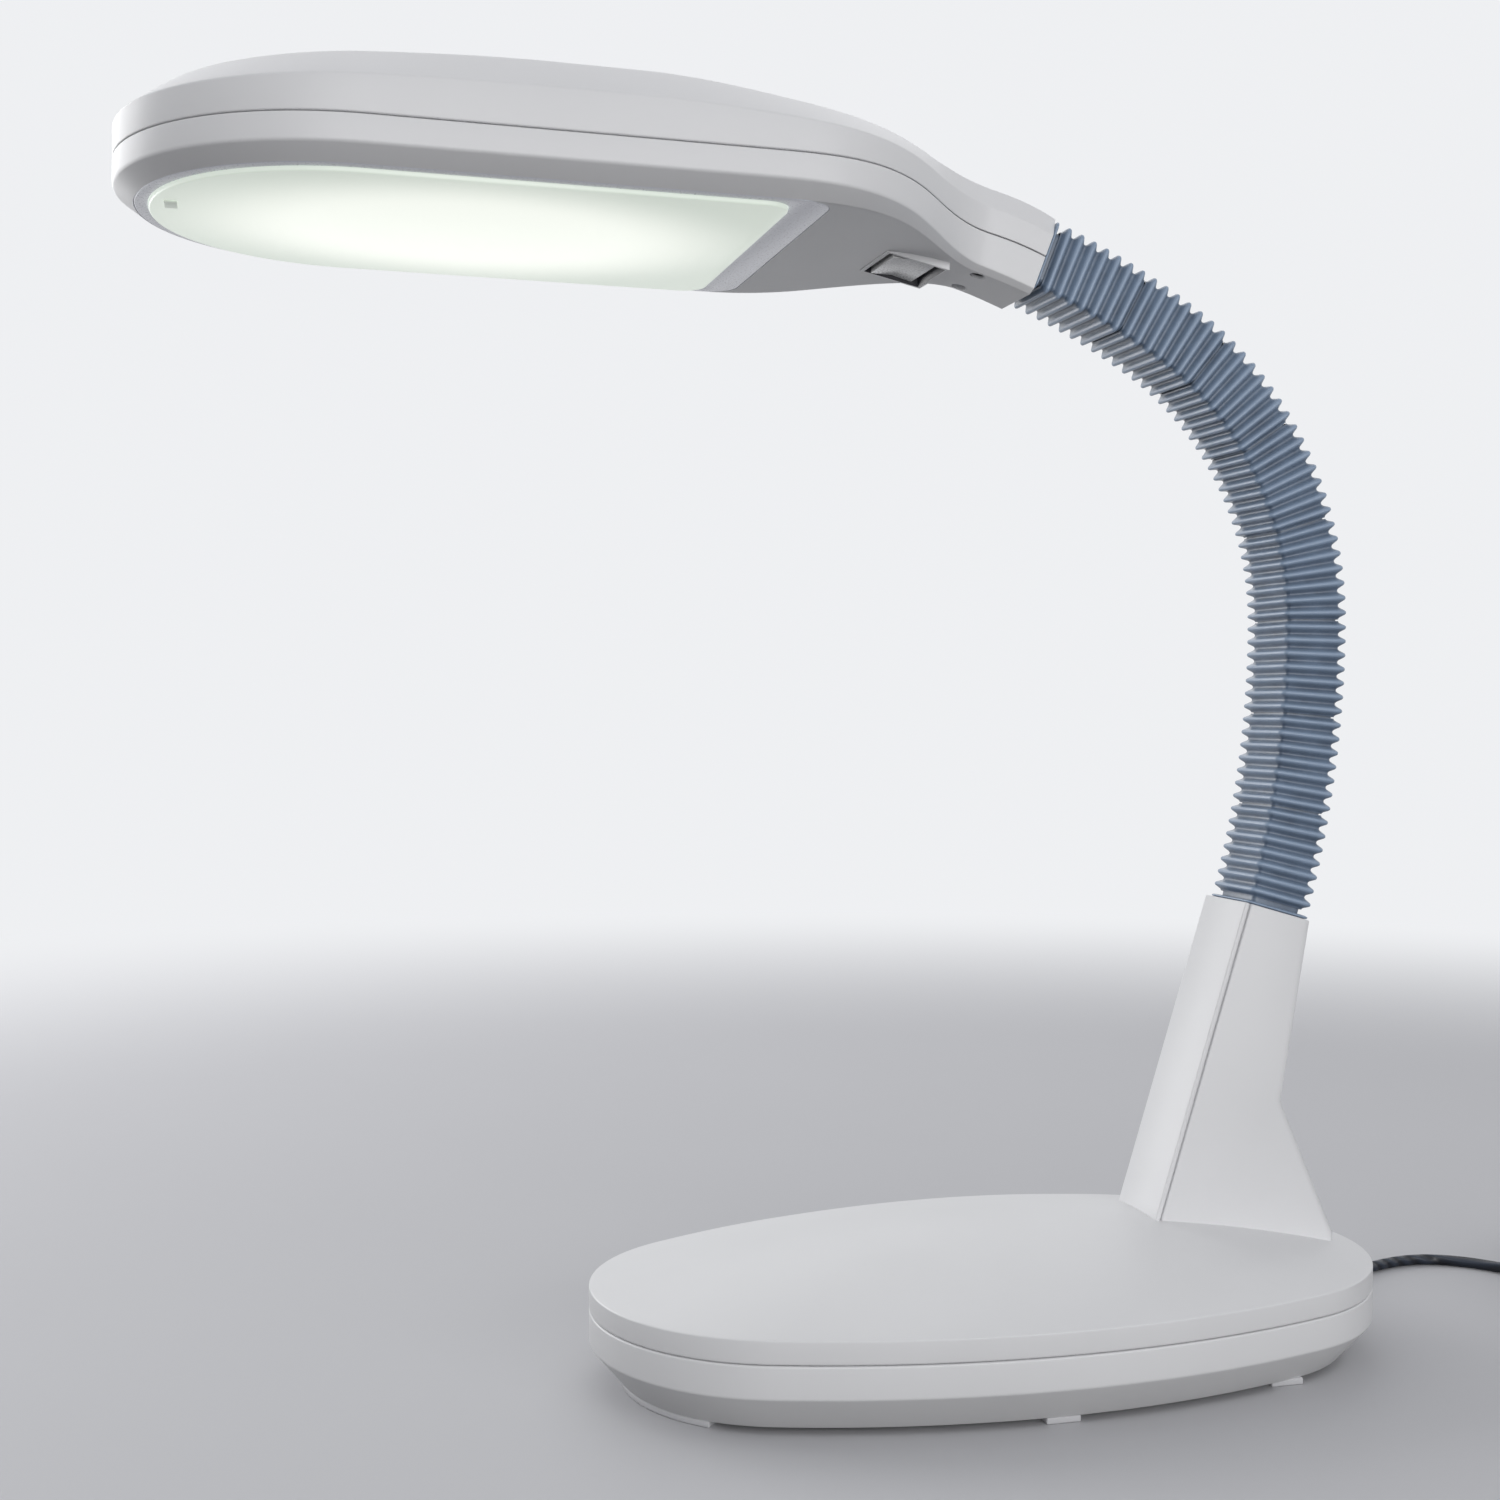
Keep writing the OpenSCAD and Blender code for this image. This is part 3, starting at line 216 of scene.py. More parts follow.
def addRamp(tree, links, value, span):
    ramp = tree.new("ShaderNodeMapRange")
    ramp.interpolation_type = "SMOOTHSTEP"
    setInputs(ramp, {"From Min": span[0], "From Max": span[1]})
    links.new(value, ramp.inputs["Value"])
    return ramp.outputs["Result"]


def addMix(tree, links, value, first, second):
    mix = tree.new("ShaderNodeMix")
    mix.data_type = "RGBA"
    links.new(value, mix.inputs[0])
    for socket, colour in ((6, first), (7, second)):
        if isinstance(colour, bpy.types.NodeSocket):
            links.new(colour, mix.inputs[socket])
        else:
            mix.inputs[socket].default_value = (*colour, 1)
    return mix.outputs[2]


def addShaderMix(tree, links, value, first, second):
    mix = tree.new("ShaderNodeMixShader")
    for socket, source in enumerate((value, first, second)):
        links.new(source, mix.inputs[socket])
    return mix.outputs["Shader"]


def addMath(tree, links, operation, first, second):
    both = tree.new("ShaderNodeMath")
    both.operation = operation
    links.new(first, both.inputs[0])
    links.new(second, both.inputs[1])
    return both.outputs[0]


def addBump(tree, links, height, strength, distance=0.0002, before=None):
    bump = tree.new("ShaderNodeBump")
    setInputs(bump, {"Strength": strength, "Distance": distance})
    links.new(height, bump.inputs["Height"])
    if before:
        links.new(before, bump.inputs["Normal"])
    return bump.outputs["Normal"]


def addMark(tree, name):
    mark = tree.new("ShaderNodeAttribute")
    mark.attribute_name = name
    return mark.outputs["Fac"]


# what a moulded look has unless it says otherwise
plainLook = {"cloudScale": 28, "grainScale": 1500, "vary": 0.03, "roughVary": 0.05, "bump": 0.06, "bumpDepth": 0.0002,
             "metal": 0, "coat": 0, "coatRough": 0.2, "paintedGlow": 0}


def mouldedFinish(name, changes):
    # moulded or cast stuff: cloudy tone, grain in the gloss and a fine skin, and a painted glow where the look asks for
    # one
    look = {**plainLook, **changes}
    mat, tree, links, shader = newFinish(name)
    coords = tree.new("ShaderNodeTexCoord").outputs["Object"]
    clouds = addNoise(tree, links, coords, look["cloudScale"], 4)
    grain = addNoise(tree, links, coords, look["grainScale"], 2)
    colour, vary, rough = look["colour"], look["vary"], look["rough"]
    darker = [x * (1 - vary) for x in colour]
    lighter = [min(1, x * (1 + vary)) for x in colour]
    tone = addMix(tree, links, addSpread(tree, links, clouds, 0, 1), darker, lighter)
    gloss = addSpread(tree, links, grain, rough - look["roughVary"], rough + look["roughVary"])
    skin = addBump(tree, links, grain, look["bump"], look["bumpDepth"])
    links.new(tone, shader.inputs["Base Color"])
    links.new(gloss, shader.inputs["Roughness"])
    links.new(skin, shader.inputs["Normal"])
    setInputs(shader, {"Metallic": look["metal"], "Coat Weight": look["coat"], "Coat Roughness": look["coatRough"],
                       "Emission Color": (*colour, 1), "Emission Strength": look["paintedGlow"]})
    return mat


looks = {
    "white_plastic": {"colour": (0.80, 0.80, 0.81), "rough": 0.36, "vary": 0.012, "bump": 0.05, "grainScale": 2200},
    # the frame glows faintly: painted light that brightens it
    "frame_plastic": {"colour": (0.66, 0.67, 0.72), "rough": 0.3, "vary": 0.02, "paintedGlow": 0.2},
    "steel": {"colour": (0.56, 0.57, 0.60), "rough": 0.3, "metal": 1, "vary": 0.08, "grainScale": 900},
    "cast_weight": {"colour": (0.05, 0.05, 0.055), "rough": 0.75, "vary": 0.2, "bump": 0.4, "bumpDepth": 0.0006,
                    "grainScale": 500},
    "foot_rubber": {"colour": (0.62, 0.62, 0.64), "rough": 0.7, "vary": 0.05, "bump": 0.15},
    "cord_rubber": {"colour": (0.012, 0.014, 0.022), "rough": 0.42, "vary": 0.2, "bump": 0.1},
    "adapter_plastic": {"colour": (0.016, 0.016, 0.02), "rough": 0.5, "vary": 0.15, "bump": 0.35, "bumpDepth": 0.0003,
                        "grainScale": 1100},
    "rocker_plastic": {"colour": (0.86, 0.86, 0.86), "rough": 0.28, "vary": 0.02, "coat": 0.3},
    "reflector_plastic": {"colour": (0.85, 0.85, 0.85), "rough": 0.25, "vary": 0.02},
    "board_white": {"colour": (0.8, 0.82, 0.78), "rough": 0.35, "vary": 0.04},
    "board_green": {"colour": (0.02, 0.12, 0.05), "rough": 0.3, "vary": 0.2, "coat": 0.3},
    "chip_yellow": {"colour": (0.9, 0.75, 0.2), "rough": 0.4, "vary": 0.08},
    "driver_dark": {"colour": (0.03, 0.03, 0.035), "rough": 0.45, "vary": 0.2},
}
finishes = {slot: mouldedFinish(slot, look) for slot, look in looks.items()}

# the valley colour is painted shade, darkest where ribs meet, on the knuckles and in the bore
hoseLook = {"crest": (0.26, 0.345, 0.47), "valley": (0.075, 0.105, 0.155), "rubbed": 1.25, "rubbedShare": 0.25,
            "cloudScale": 120, "grainScale": 1700, "rough": (0.26, 0.44), "bump": 0.15, "specular": 0.55, "coat": 0.35,
            "coatRough": 0.22}


def hoseFinish(look):
    # soft hose: painted shade darkens the valleys between the ribs, and cloudy patches are rubbed paler
    mat, tree, links, shader = newFinish("hose_rubber")
    coords = tree.new("ShaderNodeTexCoord").outputs["Object"]
    clouds = addNoise(tree, links, coords, look["cloudScale"], 4)
    grain = addNoise(tree, links, coords, look["grainScale"], 2)
    tone = addMix(tree, links, addMark(tree, "ribHeight"), look["valley"], look["crest"])
    pale = [min(1, x * look["rubbed"]) for x in look["crest"]]
    patches = addSpread(tree, links, clouds, 0, look["rubbedShare"])
    links.new(addMix(tree, links, patches, tone, pale), shader.inputs["Base Color"])
    links.new(addSpread(tree, links, grain, *look["rough"]), shader.inputs["Roughness"])
    links.new(addBump(tree, links, grain, look["bump"]), shader.inputs["Normal"])
    setInputs(shader, {"Specular IOR Level": look["specular"], "Coat Weight": look["coat"],
                       "Coat Roughness": look["coatRough"]})
    return mat


finishes["hose_rubber"] = hoseFinish(hoseLook)

lensLook = {"colour": (0.52, 0.56, 0.51), "duller": 0.97, "bright": (0.75, 0.775, 0.71), "edge": (0.44, 0.485, 0.43),
            "strength": 1.0, "middle": (-0.168, 0, 0.356), "reach": (0.118, 0.082, 0.2), "fade": (0.18, 0.62),
            "grainScale": 1400, "rough": (0.28, 0.4), "bump": 0.04}


def lensFinish(look):
    # milky diffuser lit from behind, brightest along its middle
    mat, tree, links, shader = newFinish("lens_diffuser")
    coords = tree.new("ShaderNodeTexCoord").outputs["Object"]
    place = tree.new("ShaderNodeMapping")
    place.vector_type = "TEXTURE"
    setInputs(place, {"Location": look["middle"], "Scale": look["reach"]})
    links.new(coords, place.inputs["Vector"])
    ball = tree.new("ShaderNodeTexGradient")
    ball.gradient_type = "SPHERICAL"
    links.new(place.outputs["Vector"], ball.inputs["Vector"])
    lit = addRamp(tree, links, ball.outputs["Fac"], look["fade"])
    grain = addNoise(tree, links, coords, look["grainScale"], 2)
    dull = [x * look["duller"] for x in look["colour"]]
    links.new(addMix(tree, links, lit, look["edge"], look["bright"]), shader.inputs["Emission Color"])
    links.new(addMix(tree, links, grain, dull, look["colour"]), shader.inputs["Base Color"])
    links.new(addSpread(tree, links, grain, *look["rough"]), shader.inputs["Roughness"])
    links.new(addBump(tree, links, grain, look["bump"]), shader.inputs["Normal"])
    shader.inputs["Emission Strength"].default_value = look["strength"]
    return mat


finishes["lens_diffuser"] = lensFinish(lensLook)

# the twist is real, and the light colour is a painted highlight along each strand's crest
cordLook = {"dark": (0.006, 0.008, 0.014), "light": (0.03, 0.04, 0.062), "rough": (0.3, 0.46), "twist": 92,
            "ridge": 0.8, "ridgeDepth": 0.0008, "grainScale": 1500, "bump": 0.1}


def cordFinish(look):
    # two strands laid round each other under one skin, their crests painted lighter as a highlight
    mat, tree, links, shader = newFinish("cord_rubber_twist")
    coords = tree.new("ShaderNodeTexCoord").outputs["Object"]
    wave = tree.new("ShaderNodeTexWave")
    wave.bands_direction = "DIAGONAL"
    wave.inputs["Scale"].default_value = look["twist"]
    links.new(coords, wave.inputs["Vector"])
    strand = wave.outputs["Fac"]
    grain = addNoise(tree, links, coords, look["grainScale"], 2)
    links.new(addMix(tree, links, strand, look["dark"], look["light"]), shader.inputs["Base Color"])
    links.new(addSpread(tree, links, grain, *look["rough"]), shader.inputs["Roughness"])
    ridge = addBump(tree, links, strand, look["ridge"], look["ridgeDepth"])
    links.new(addBump(tree, links, grain, look["bump"], before=ridge), shader.inputs["Normal"])
    return mat


finishes["cord_twist"] = cordFinish(cordLook)

# the catch glows: painted light, as if lit through the lens
catchLook = {"colour": (0.44, 0.48, 0.43), "rough": 0.4, "vary": 0.03, "paintedGlow": 0.6}
finishes["catch_lit"] = mouldedFinish("catch_lit", catchLook)

wellShadeLook = {"dark": (0.012, 0.012, 0.02)}


def wellFinish(base, look):
    # a moulded piece whose inside faces are painted dark as shade
    mat = base.copy()
    tree, links = mat.node_tree.nodes, mat.node_tree.links
    shader = tree["Principled BSDF"]
    tone = shader.inputs["Base Color"].links[0].from_socket
    links.new(addMix(tree, links, addMark(tree, "inside"), tone, look["dark"]), shader.inputs["Base Color"])
    return mat


finishes["switch_well"] = wellFinish(finishes["white_plastic"], wellShadeLook)


def dress(obj, body, slot, finish=None):
    obj.data.materials.clear()
    obj.data.materials.append(finishes[finish or slot])
    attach(obj, body)
    return obj


for part in frame["record"]["subparts"]:
    mesh = nodes[part["node"]].data
    mesh.materials.clear()
    mesh.materials.append(finishes[part["material_slot"]])
print("finishes made:", len(finishes))


# base outline, four arcs joined smoothly
baseOutline = {"length": 260, "width": 142, "endRadius": 60, "pointsPerArc": 40}


def ovalRing(inset, z, share=1.0, o=baseOutline):
    endR = o["endRadius"]
    endC = o["length"] / 2 - endR
    rise = o["width"] / 2 - endR
    sideC = (endC ** 2 - rise ** 2) / (2 * rise)
    sideR = sideC + o["width"] / 2
    turn = math.atan2(sideC, endC)
    arcs = ((endC, 0, endR, -turn, turn), (0, -sideC, sideR, turn, math.pi - turn),
            (-endC, 0, endR, math.pi - turn, math.pi + turn), (0, sideC, sideR, math.pi + turn, 2 * math.pi - turn))
    ring = []
    for cx, cy, r, a0, a1 in arcs:
        for k in range(o["pointsPerArc"]):
            a = lerp(a0, a1, k / o["pointsPerArc"])
            ring.append(((cx + (r - inset) * math.cos(a)) * share, (cy + (r - inset) * math.sin(a)) * share, z))
    return ring


# power cord: one curve from the gland along the table into its put-away coil
cordRoute = {
    "diameter": 3.8, "roundness": 5, "glandAngle": 28, "glandZ": 8.85, "glandOut": 20, "glandLap": 4,
    "coilCentre": (256, 14), "coilRadius": 28.8, "coilPitch": 4.4, "coilZ": 3.2, "turns": 12, "layers": 4,
    "climb": 0.5, "pointsPerTurn": 36, "tail": 21,
    "way": [(146, 40.5, 7.6), (152, 43.7, 6.3), (159, 47.2, 4.4), (167, 50.8, 2.6), (175, 54, 1.95), (183, 56.6, 1.95),
            (191, 58, 1.95), (199, 57.6, 1.95), (206, 55, 1.95), (212, 50.8, 1.95), (217, 45.4, 2), (221, 39, 2.2),
            (224, 32, 2.6), (226, 25, 3), (227, 19, 3.2)],
}


def coilPoint(t, c=cordRoute):
    # layers wound inwards and outwards by turns, with a short climb from each to the next
    each = c["turns"] / c["layers"]
    m = t % (2 * each)
    inward = m if m < each else 2 * each - m
    layer = math.floor(t / each + 0.5)
    d = t - layer * each
    if layer in (0, c["layers"]):
        level = max(layer - 1, 0)
    else:
        level = layer - 1 + ease(d / c["climb"] + 0.5)
    r = c["coilRadius"] - c["coilPitch"] * inward
    a = math.pi * (1 + 2 * t)
    x, y = c["coilCentre"]
    return (x + r * math.cos(a), y + r * math.sin(a), c["coilZ"] + c["coilPitch"] * level)


def easeLine(points, steps=4):
    # a smooth line through the points
    line = []
    for i in range(len(points) - 1):
        p0, p1 = Vector(points[max(i - 1, 0)]), Vector(points[i])
        p2, p3 = Vector(points[i + 1]), Vector(points[min(i + 2, len(points) - 1)])
        for k in range(steps):
            t = k / steps
            square, cube = 2 * p0 - 5 * p1 + 4 * p2 - p3, 3 * p1 - p0 - 3 * p2 + p3
            line.append(0.5 * (2 * p1 + (p2 - p0) * t + square * t ** 2 + cube * t ** 3))
    return line + [Vector(points[-1])]


def layCord(c, o=baseOutline):
    a = math.radians(c["glandAngle"])
    out = Vector((math.cos(a), math.sin(a), 0))
    endR = o["endRadius"]
    wall = Vector((o["length"] / 2 - endR + endR * math.cos(a), endR * math.sin(a), c["glandZ"]))
    tip = wall + out * c["glandOut"]
    start = [wall + out * (c["glandOut"] - c["glandLap"]), tip]
    n = c["pointsPerTurn"]
    loops = [Vector(coilPoint(k / n)) for k in range(int(c["turns"] * n) + 1)]
    tail = loops[-1] + Vector((0, -c["tail"], 0))
    lead = easeLine(start + list(c["way"]) + [tuple(loops[0])])[:-1]
    line = lead + loops + [loops[-1].lerp(tail, 0.5), tail]
    bpy.ops.object.select_all(action="DESELECT")
    bpy.ops.curve.primitive_nurbs_path_add()
    cord = bpy.context.object
    cord.name = "flexCord"
    curve = cord.data
    curve.splines.clear()
    spline = curve.splines.new("POLY")
    spline.points.add(len(line) - 1)
    for point, p in zip(spline.points, line):
        point.co = (*(p * mm), 1)
    curve.bevel_depth = c["diameter"] / 2 * mm
    curve.bevel_resolution = c["roundness"]
    curve.use_fill_caps = True
    length = sum((q - p).length for p, q in zip(line, line[1:])) * mm
    print("cord laid, metres:", round(length, 3))
    return cord, tip * mm


flexCord, cordExit = layCord(cordRoute)
dress(flexCord, "base", "cord_rubber", "cord_twist")
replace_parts(flexCord, "power_cord", "cord_coil")

cordEase = {"adapter_body": 1.6, "adapter_blades": 0.35, "adapter_relief": 0.5, "cord_tie": 0.3, "cord_gland": 0.5}
cordSlots = {"adapter_body": "adapter_plastic", "adapter_blades": "steel"}
for node, width in cordEase.items():
    dress(softCopy(node, node + "_eased", width), "base", cordSlots.get(node, "cord_rubber"))
print("cord pieces made")


# base: crowned cover over a tray with a deep undercut
baseShape = {"rim": 30.5, "seam": 23.5, "seamGap": 0.25, "wallFoot": 13.5, "undercut": 9.7, "sole": 8, "crown": 17.5,
             "footHeight": 2.2, "shell": 2.4, "innerFoot": 14.5, "lipEnd": (0.85, 0.34), "seamRound": 0.7,
             "rimRound": 1.2, "wallRound": 1.6, "soleRound": 0.6,
             "crownSteps": (0.97, 0.945, 0.91, 0.87, 0.825, 0.775, 0.72, 0.66, 0.595, 0.525, 0.45, 0.37, 0.285, 0.195,
                            0.1)}


def makeBaseCover(b):
    t, seam, rim = b["shell"], b["seam"], b["rim"]
    lipIn, lipUp = b["lipEnd"]
    crown = [(0, rim + b["crown"] * (1 - k * k), k) for k in b["crownSteps"]]
    lip = roundPath([(t, seam, 0), (0, seam, b["seamRound"]), (0, rim, b["rimRound"]), (lipIn, rim + lipUp, 0)])
    inner = [(t, z - t, k) for _, z, k in reversed(crown)] + [(t, rim - t, 1)]
    rings = [ovalRing(d, z, k) for d, z, k in inner + [(p.x, p.y, 1) for p in lip] + crown]
    return finishMesh(skinRings("baseCover", rings), angle=40)


def makeBaseTray(b):
    t, under, foot, seam = b["shell"], b["undercut"], b["footHeight"], b["seam"] - b["seamGap"]
    outside = roundPath([(t, seam, 0), (0, seam, b["seamRound"]), (0, b["wallFoot"], b["wallRound"]),
                         (under, foot, b["soleRound"]), (under + b["sole"], foot, 0)])
    path = [Vector((under + t, foot + t)), Vector((t, b["innerFoot"]))] + outside
    return finishMesh(skinRings("baseTray", [ovalRing(p.x, p.y) for p in path]), angle=40)


dress(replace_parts(makeBaseCover(baseShape), "base_top_cover"), "base", "white_plastic")
dress(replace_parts(makeBaseTray(baseShape), "base_tray"), "base", "white_plastic")
dress(softCopy("base_feet", "footPads", 0.5), "base", "foot_rubber")
print("base made")


# stem: rear shell with a flared foot, and a front panel set off by a groove
stemShape = {"width": 27.6, "depth": 25.5, "top": (96.8, 143.8), "lean": 16, "footFront": (52.5, 44.45),
             "footBack": (118.3, 36.2), "kink": (98.8, 80.9), "bottom": 24, "panel": 1.7, "groove": 0.5,
             "backRound": 3.2, "backSteps": 6, "backStart": 15, "edge": 0.5,
             "core": (1, 6), "coreDrop": 3, "coreWidth": 24.6, "coreEdge": 0.3}


def stemCorners(s):
    a = math.radians(s["lean"])
    across = Vector((math.cos(a), -math.sin(a)))
    top = Vector(s["top"])
    front, back = top - across * s["depth"] / 2, top + across * s["depth"] / 2
    foot = Vector(s["footFront"])
    slope = (front.x - foot.x) / (front.y - foot.y)
    low = Vector((foot.x - slope * (foot.y - s["bottom"]), s["bottom"]))
    return low, Vector((s["footBack"][0], s["bottom"])), Vector(s["footBack"]), Vector(s["kink"]), back, front


def slabFrom(name, outline, width):
    bpy.ops.object.select_all(action="DESELECT")
    bpy.ops.mesh.primitive_circle_add(vertices=len(outline), fill_type="NGON")
    obj = bpy.context.object
    obj.name = obj.data.name = name
    for v, p in zip(obj.data.vertices, outline):
        v.co = (p.x * mm, -width / 2 * mm, p.y * mm)
    bpy.ops.object.mode_set(mode="EDIT")
    bpy.ops.mesh.select_all(action="SELECT")
    bpy.ops.mesh.extrude_region_move(TRANSFORM_OT_translate={"value": (0, width * mm, 0)})
    bpy.ops.mesh.select_all(action="SELECT")
    bpy.ops.mesh.normals_make_consistent(inside=False)
    bpy.ops.mesh.select_all(action="DESELECT")
    bpy.ops.object.mode_set(mode="OBJECT")
    return obj


def bevelEdges(obj, wanted, width, segments):
    # bevel the edges whose middle and direction pass the test
    startOn(obj)
    bpy.ops.object.mode_set(mode="EDIT")
    bpy.ops.mesh.select_mode(type="EDGE")
    bpy.ops.mesh.select_all(action="DESELECT")
    shape = bmesh.from_edit_mesh(obj.data)
    for edge in shape.edges:
        a, b = (v.co / mm for v in edge.verts)
        if wanted((a + b) / 2, (b - a).normalized()):
            edge.select_set(True)
    bmesh.update_edit_mesh(obj.data)
    bpy.ops.mesh.bevel(offset=width * mm, segments=segments, affect="EDGES", clamp_overlap=True)
    bpy.ops.object.mode_set(mode="OBJECT")


def makeStem(s):
    low, backLow, footBack, kink, back, front = stemCorners(s)
    along = (front - low).normalized()
    inward = Vector((along.y, -along.x))

    def onBack(p, d):
        # the long rising edges of the two sides, behind the panel and clear of the bottom
        onSide = abs(p.y) > s["width"] / 2 - 0.1 and abs(d.y) < 0.5
        behind = (Vector((p.x, p.z)) - low).dot(inward) > s["backStart"]
        return onSide and behind and p.z > s["bottom"] + 1 and abs(d.z) > 0.4
    step = inward * (s["panel"] + s["groove"])
    shell = slabFrom("stemShell", [low + step, backLow, footBack, kink, back, front + step], s["width"])
    bevelEdges(shell, onBack, s["backRound"], s["backSteps"])
    easeEdges(shell, s["edge"])
    step = inward * s["panel"]
    panel = slabFrom("stemPanel", [low, low + step, front + step, front], s["width"])
    easeEdges(panel, s["edge"])
    near, far = inward * s["core"][0], inward * s["core"][1]
    drop = along * s["coreDrop"]
    core = slabFrom("stemCore", [low + near, low + far, front + far - drop, front + near - drop], s["coreWidth"])
    easeEdges(core, s["coreEdge"], segments=2)
    return finishMesh(shell), finishMesh(panel), finishMesh(core)


stemShell, stemPanel, stemCore = makeStem(stemShape)
dress(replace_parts(stemShell, "stem_rear_shell"), "base", "white_plastic")
dress(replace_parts(stemPanel, "stem_front_cover"), "base", "white_plastic")
dress(stemCore, "base", "white_plastic")
print("stem made")


# neck: ribbed hose along three arcs, in lengths that ride on the lengths of the core
# an arc is (length, first angle, last angle); bores and knuckles are (half depth, half width)
neckShape = {"low": (97, 16, 0), "mid": (110, 0, -58), "top": (51, -58, -69), "root": (96.8, 143.8), "step": 0.25,
             "hingeIn": 2.5, "lengths": 8, "sideHinges": (1, 4, 7), "hingeRoom": 0.25, "halfDepth": 11.4,
             "halfWidth": 13.6, "ribDepth": 2.0, "pitchTarget": 4.47, "round": 1.9, "roundLoss": 0.3, "cornerPoints": 7,
             "bore": (9.15, 11.35), "boreRound": 1.3, "knuckle": (8.9, 11.1), "knuckleBore": (8.4, 10.5),
             "knuckleReach": 4.2, "knuckleSteps": 8, "endGap": 0.1, "cuffGap": 0.05}
# one rib as (share of the pitch, share of the height), and a cuff as (mm, share of the height)
ribProfile = ((0, 0), (0.07, 0.02), (0.15, 0.16), (0.25, 0.5), (0.34, 0.82), (0.42, 0.97),
              (0.5, 1), (0.58, 0.97), (0.66, 0.82), (0.75, 0.5), (0.85, 0.16), (0.93, 0.02))
cuffProfile = ((0, 0.5), (0.15, 0.85), (0.4, 1), (0.65, 1), (0.9, 0.85), (1.05, 0.5))


def neckLine(n):
    line, s, p = [], 0.0, Vector(n["root"])
    for length, a0, a1 in (n["low"], n["mid"], n["top"]):
        count = round(length / n["step"])
        for k in range(count):
            a = math.radians(lerp(a0, a1, k / count))
            line.append((s, p.copy(), a))
            mid = math.radians(lerp(a0, a1, (k + 0.5) / count))
            p = p + Vector((math.sin(mid), math.cos(mid))) * (length / count)
            s += length / count
    line.append((s, p.copy(), math.radians(n["top"][2])))
    return line


neckTable = neckLine(neckShape)
neckLength, neckEnd, neckEndAngle = neckTable[-1]


def onNeck(s, n=neckShape):
    i = min(max(int(s / n["step"]), 0), len(neckTable) - 2)
    (s0, p0, a0), (s1, p1, a1) = neckTable[i], neckTable[i + 1]
    t = (s - s0) / (s1 - s0)
    return p0.lerp(p1, t), lerp(a0, a1, t)


def hoseRing(s, halfDepth, halfWidth, r, n=neckShape):
    # a rounded rectangle across the neck
    p, a = onNeck(s)
    across = Vector((math.cos(a), -math.sin(a)))
    ring = []
    for quarter in range(4):
        for k in range(n["cornerPoints"]):
            turn = math.pi / 2 * (quarter + k / (n["cornerPoints"] - 1))
            u = (1 if quarter in (0, 3) else -1) * (halfDepth - r) + r * math.cos(turn)
            v = (1 if quarter < 2 else -1) * (halfWidth - r) + r * math.sin(turn)
            q = p + across * u
            ring.append((q.x, v, q.y))
    return ring


def tubeRings(marks, n=neckShape):
    # rings of a closed tube and the height of each; marks are (place along the neck, share of the height)
    rings = []
    for s, height in marks:
        cut = n["ribDepth"] * (1 - height)
        rings.append(hoseRing(s, n["halfDepth"] - cut, n["halfWidth"] - cut, n["round"] - cut * n["roundLoss"]))
    low, high = marks[0][0], marks[-1][0]
    for s in (high, (low + high) / 2, low):
        rings.append(hoseRing(s, *n["bore"], n["boreRound"]))
    return rings + [rings[0]], [h for _, h in marks] + [0, 0, 0, 0]


def ribRings(s0, s1, n=neckShape):
    # one stiff length: its end ribs stop a little short of the hinges
    ribs = round((s1 - s0) / n["pitchTarget"])
    pitch = (s1 - s0) / ribs
    room = n["hingeRoom"] / pitch
    marks = []
    for k in range(ribs):
        for share, height in ribProfile:
            if k == 0 and share < 0.5:
                share = lerp(room, 0.5, share * 2)
            if k == ribs - 1 and share > 0.5:
                share = lerp(0.5, 1 - room, share * 2 - 1)
            marks.append((s0 + (k + share) * pitch, height))
    return tubeRings(marks + [(s1 - n["hingeRoom"], 0)])


def knuckleRings(s, sideways, n=neckShape):
    # round about the hinge, so that it fills the gap between two lengths however they turn
    low = max(-n["knuckleReach"], n["endGap"] - s)
    high = min(n["knuckleReach"], neckLength - n["endGap"] - s)
    steps = [lerp(low, high, k / n["knuckleSteps"]) for k in range(n["knuckleSteps"] + 1)]
    rings = []
    for (depth, width), marks in ((n["knuckle"], steps), (n["knuckleBore"], steps[::-1])):
        for t in marks:
            if sideways:
                size = (depth, math.sqrt(width ** 2 - t ** 2))
            else:
                size = (math.sqrt(depth ** 2 - t ** 2), width)
            rings.append(hoseRing(s + t, *size, n["round"]))
    rings.append(rings[0])
    return rings, [0] * len(rings)


def makeHose(name, *shells):
    made = []
    for rings, _ in shells:
        made.append(finishMesh(skinRings(name, rings, ends="open"), angle=50))
    obj = made[0]
    startOn(obj)
    if len(made) > 1:
        made[1].select_set(True)
        bpy.ops.object.join()
    # how high each point stands on its rib, for the painted shade in the valleys
    points = [(q, h) for rings, heights in shells for r, h in zip(rings, heights) for q in r]
    tree = KDTree(len(points))
    for i, (q, _) in enumerate(points):
        tree.insert(Vector(q) * mm, i)
    tree.balance()
    mark = obj.data.attributes.new("ribHeight", "FLOAT", "POINT")
    for v in obj.data.vertices:
        mark.data[v.index].value = points[tree.find(v.co)[1]][1]
    return obj


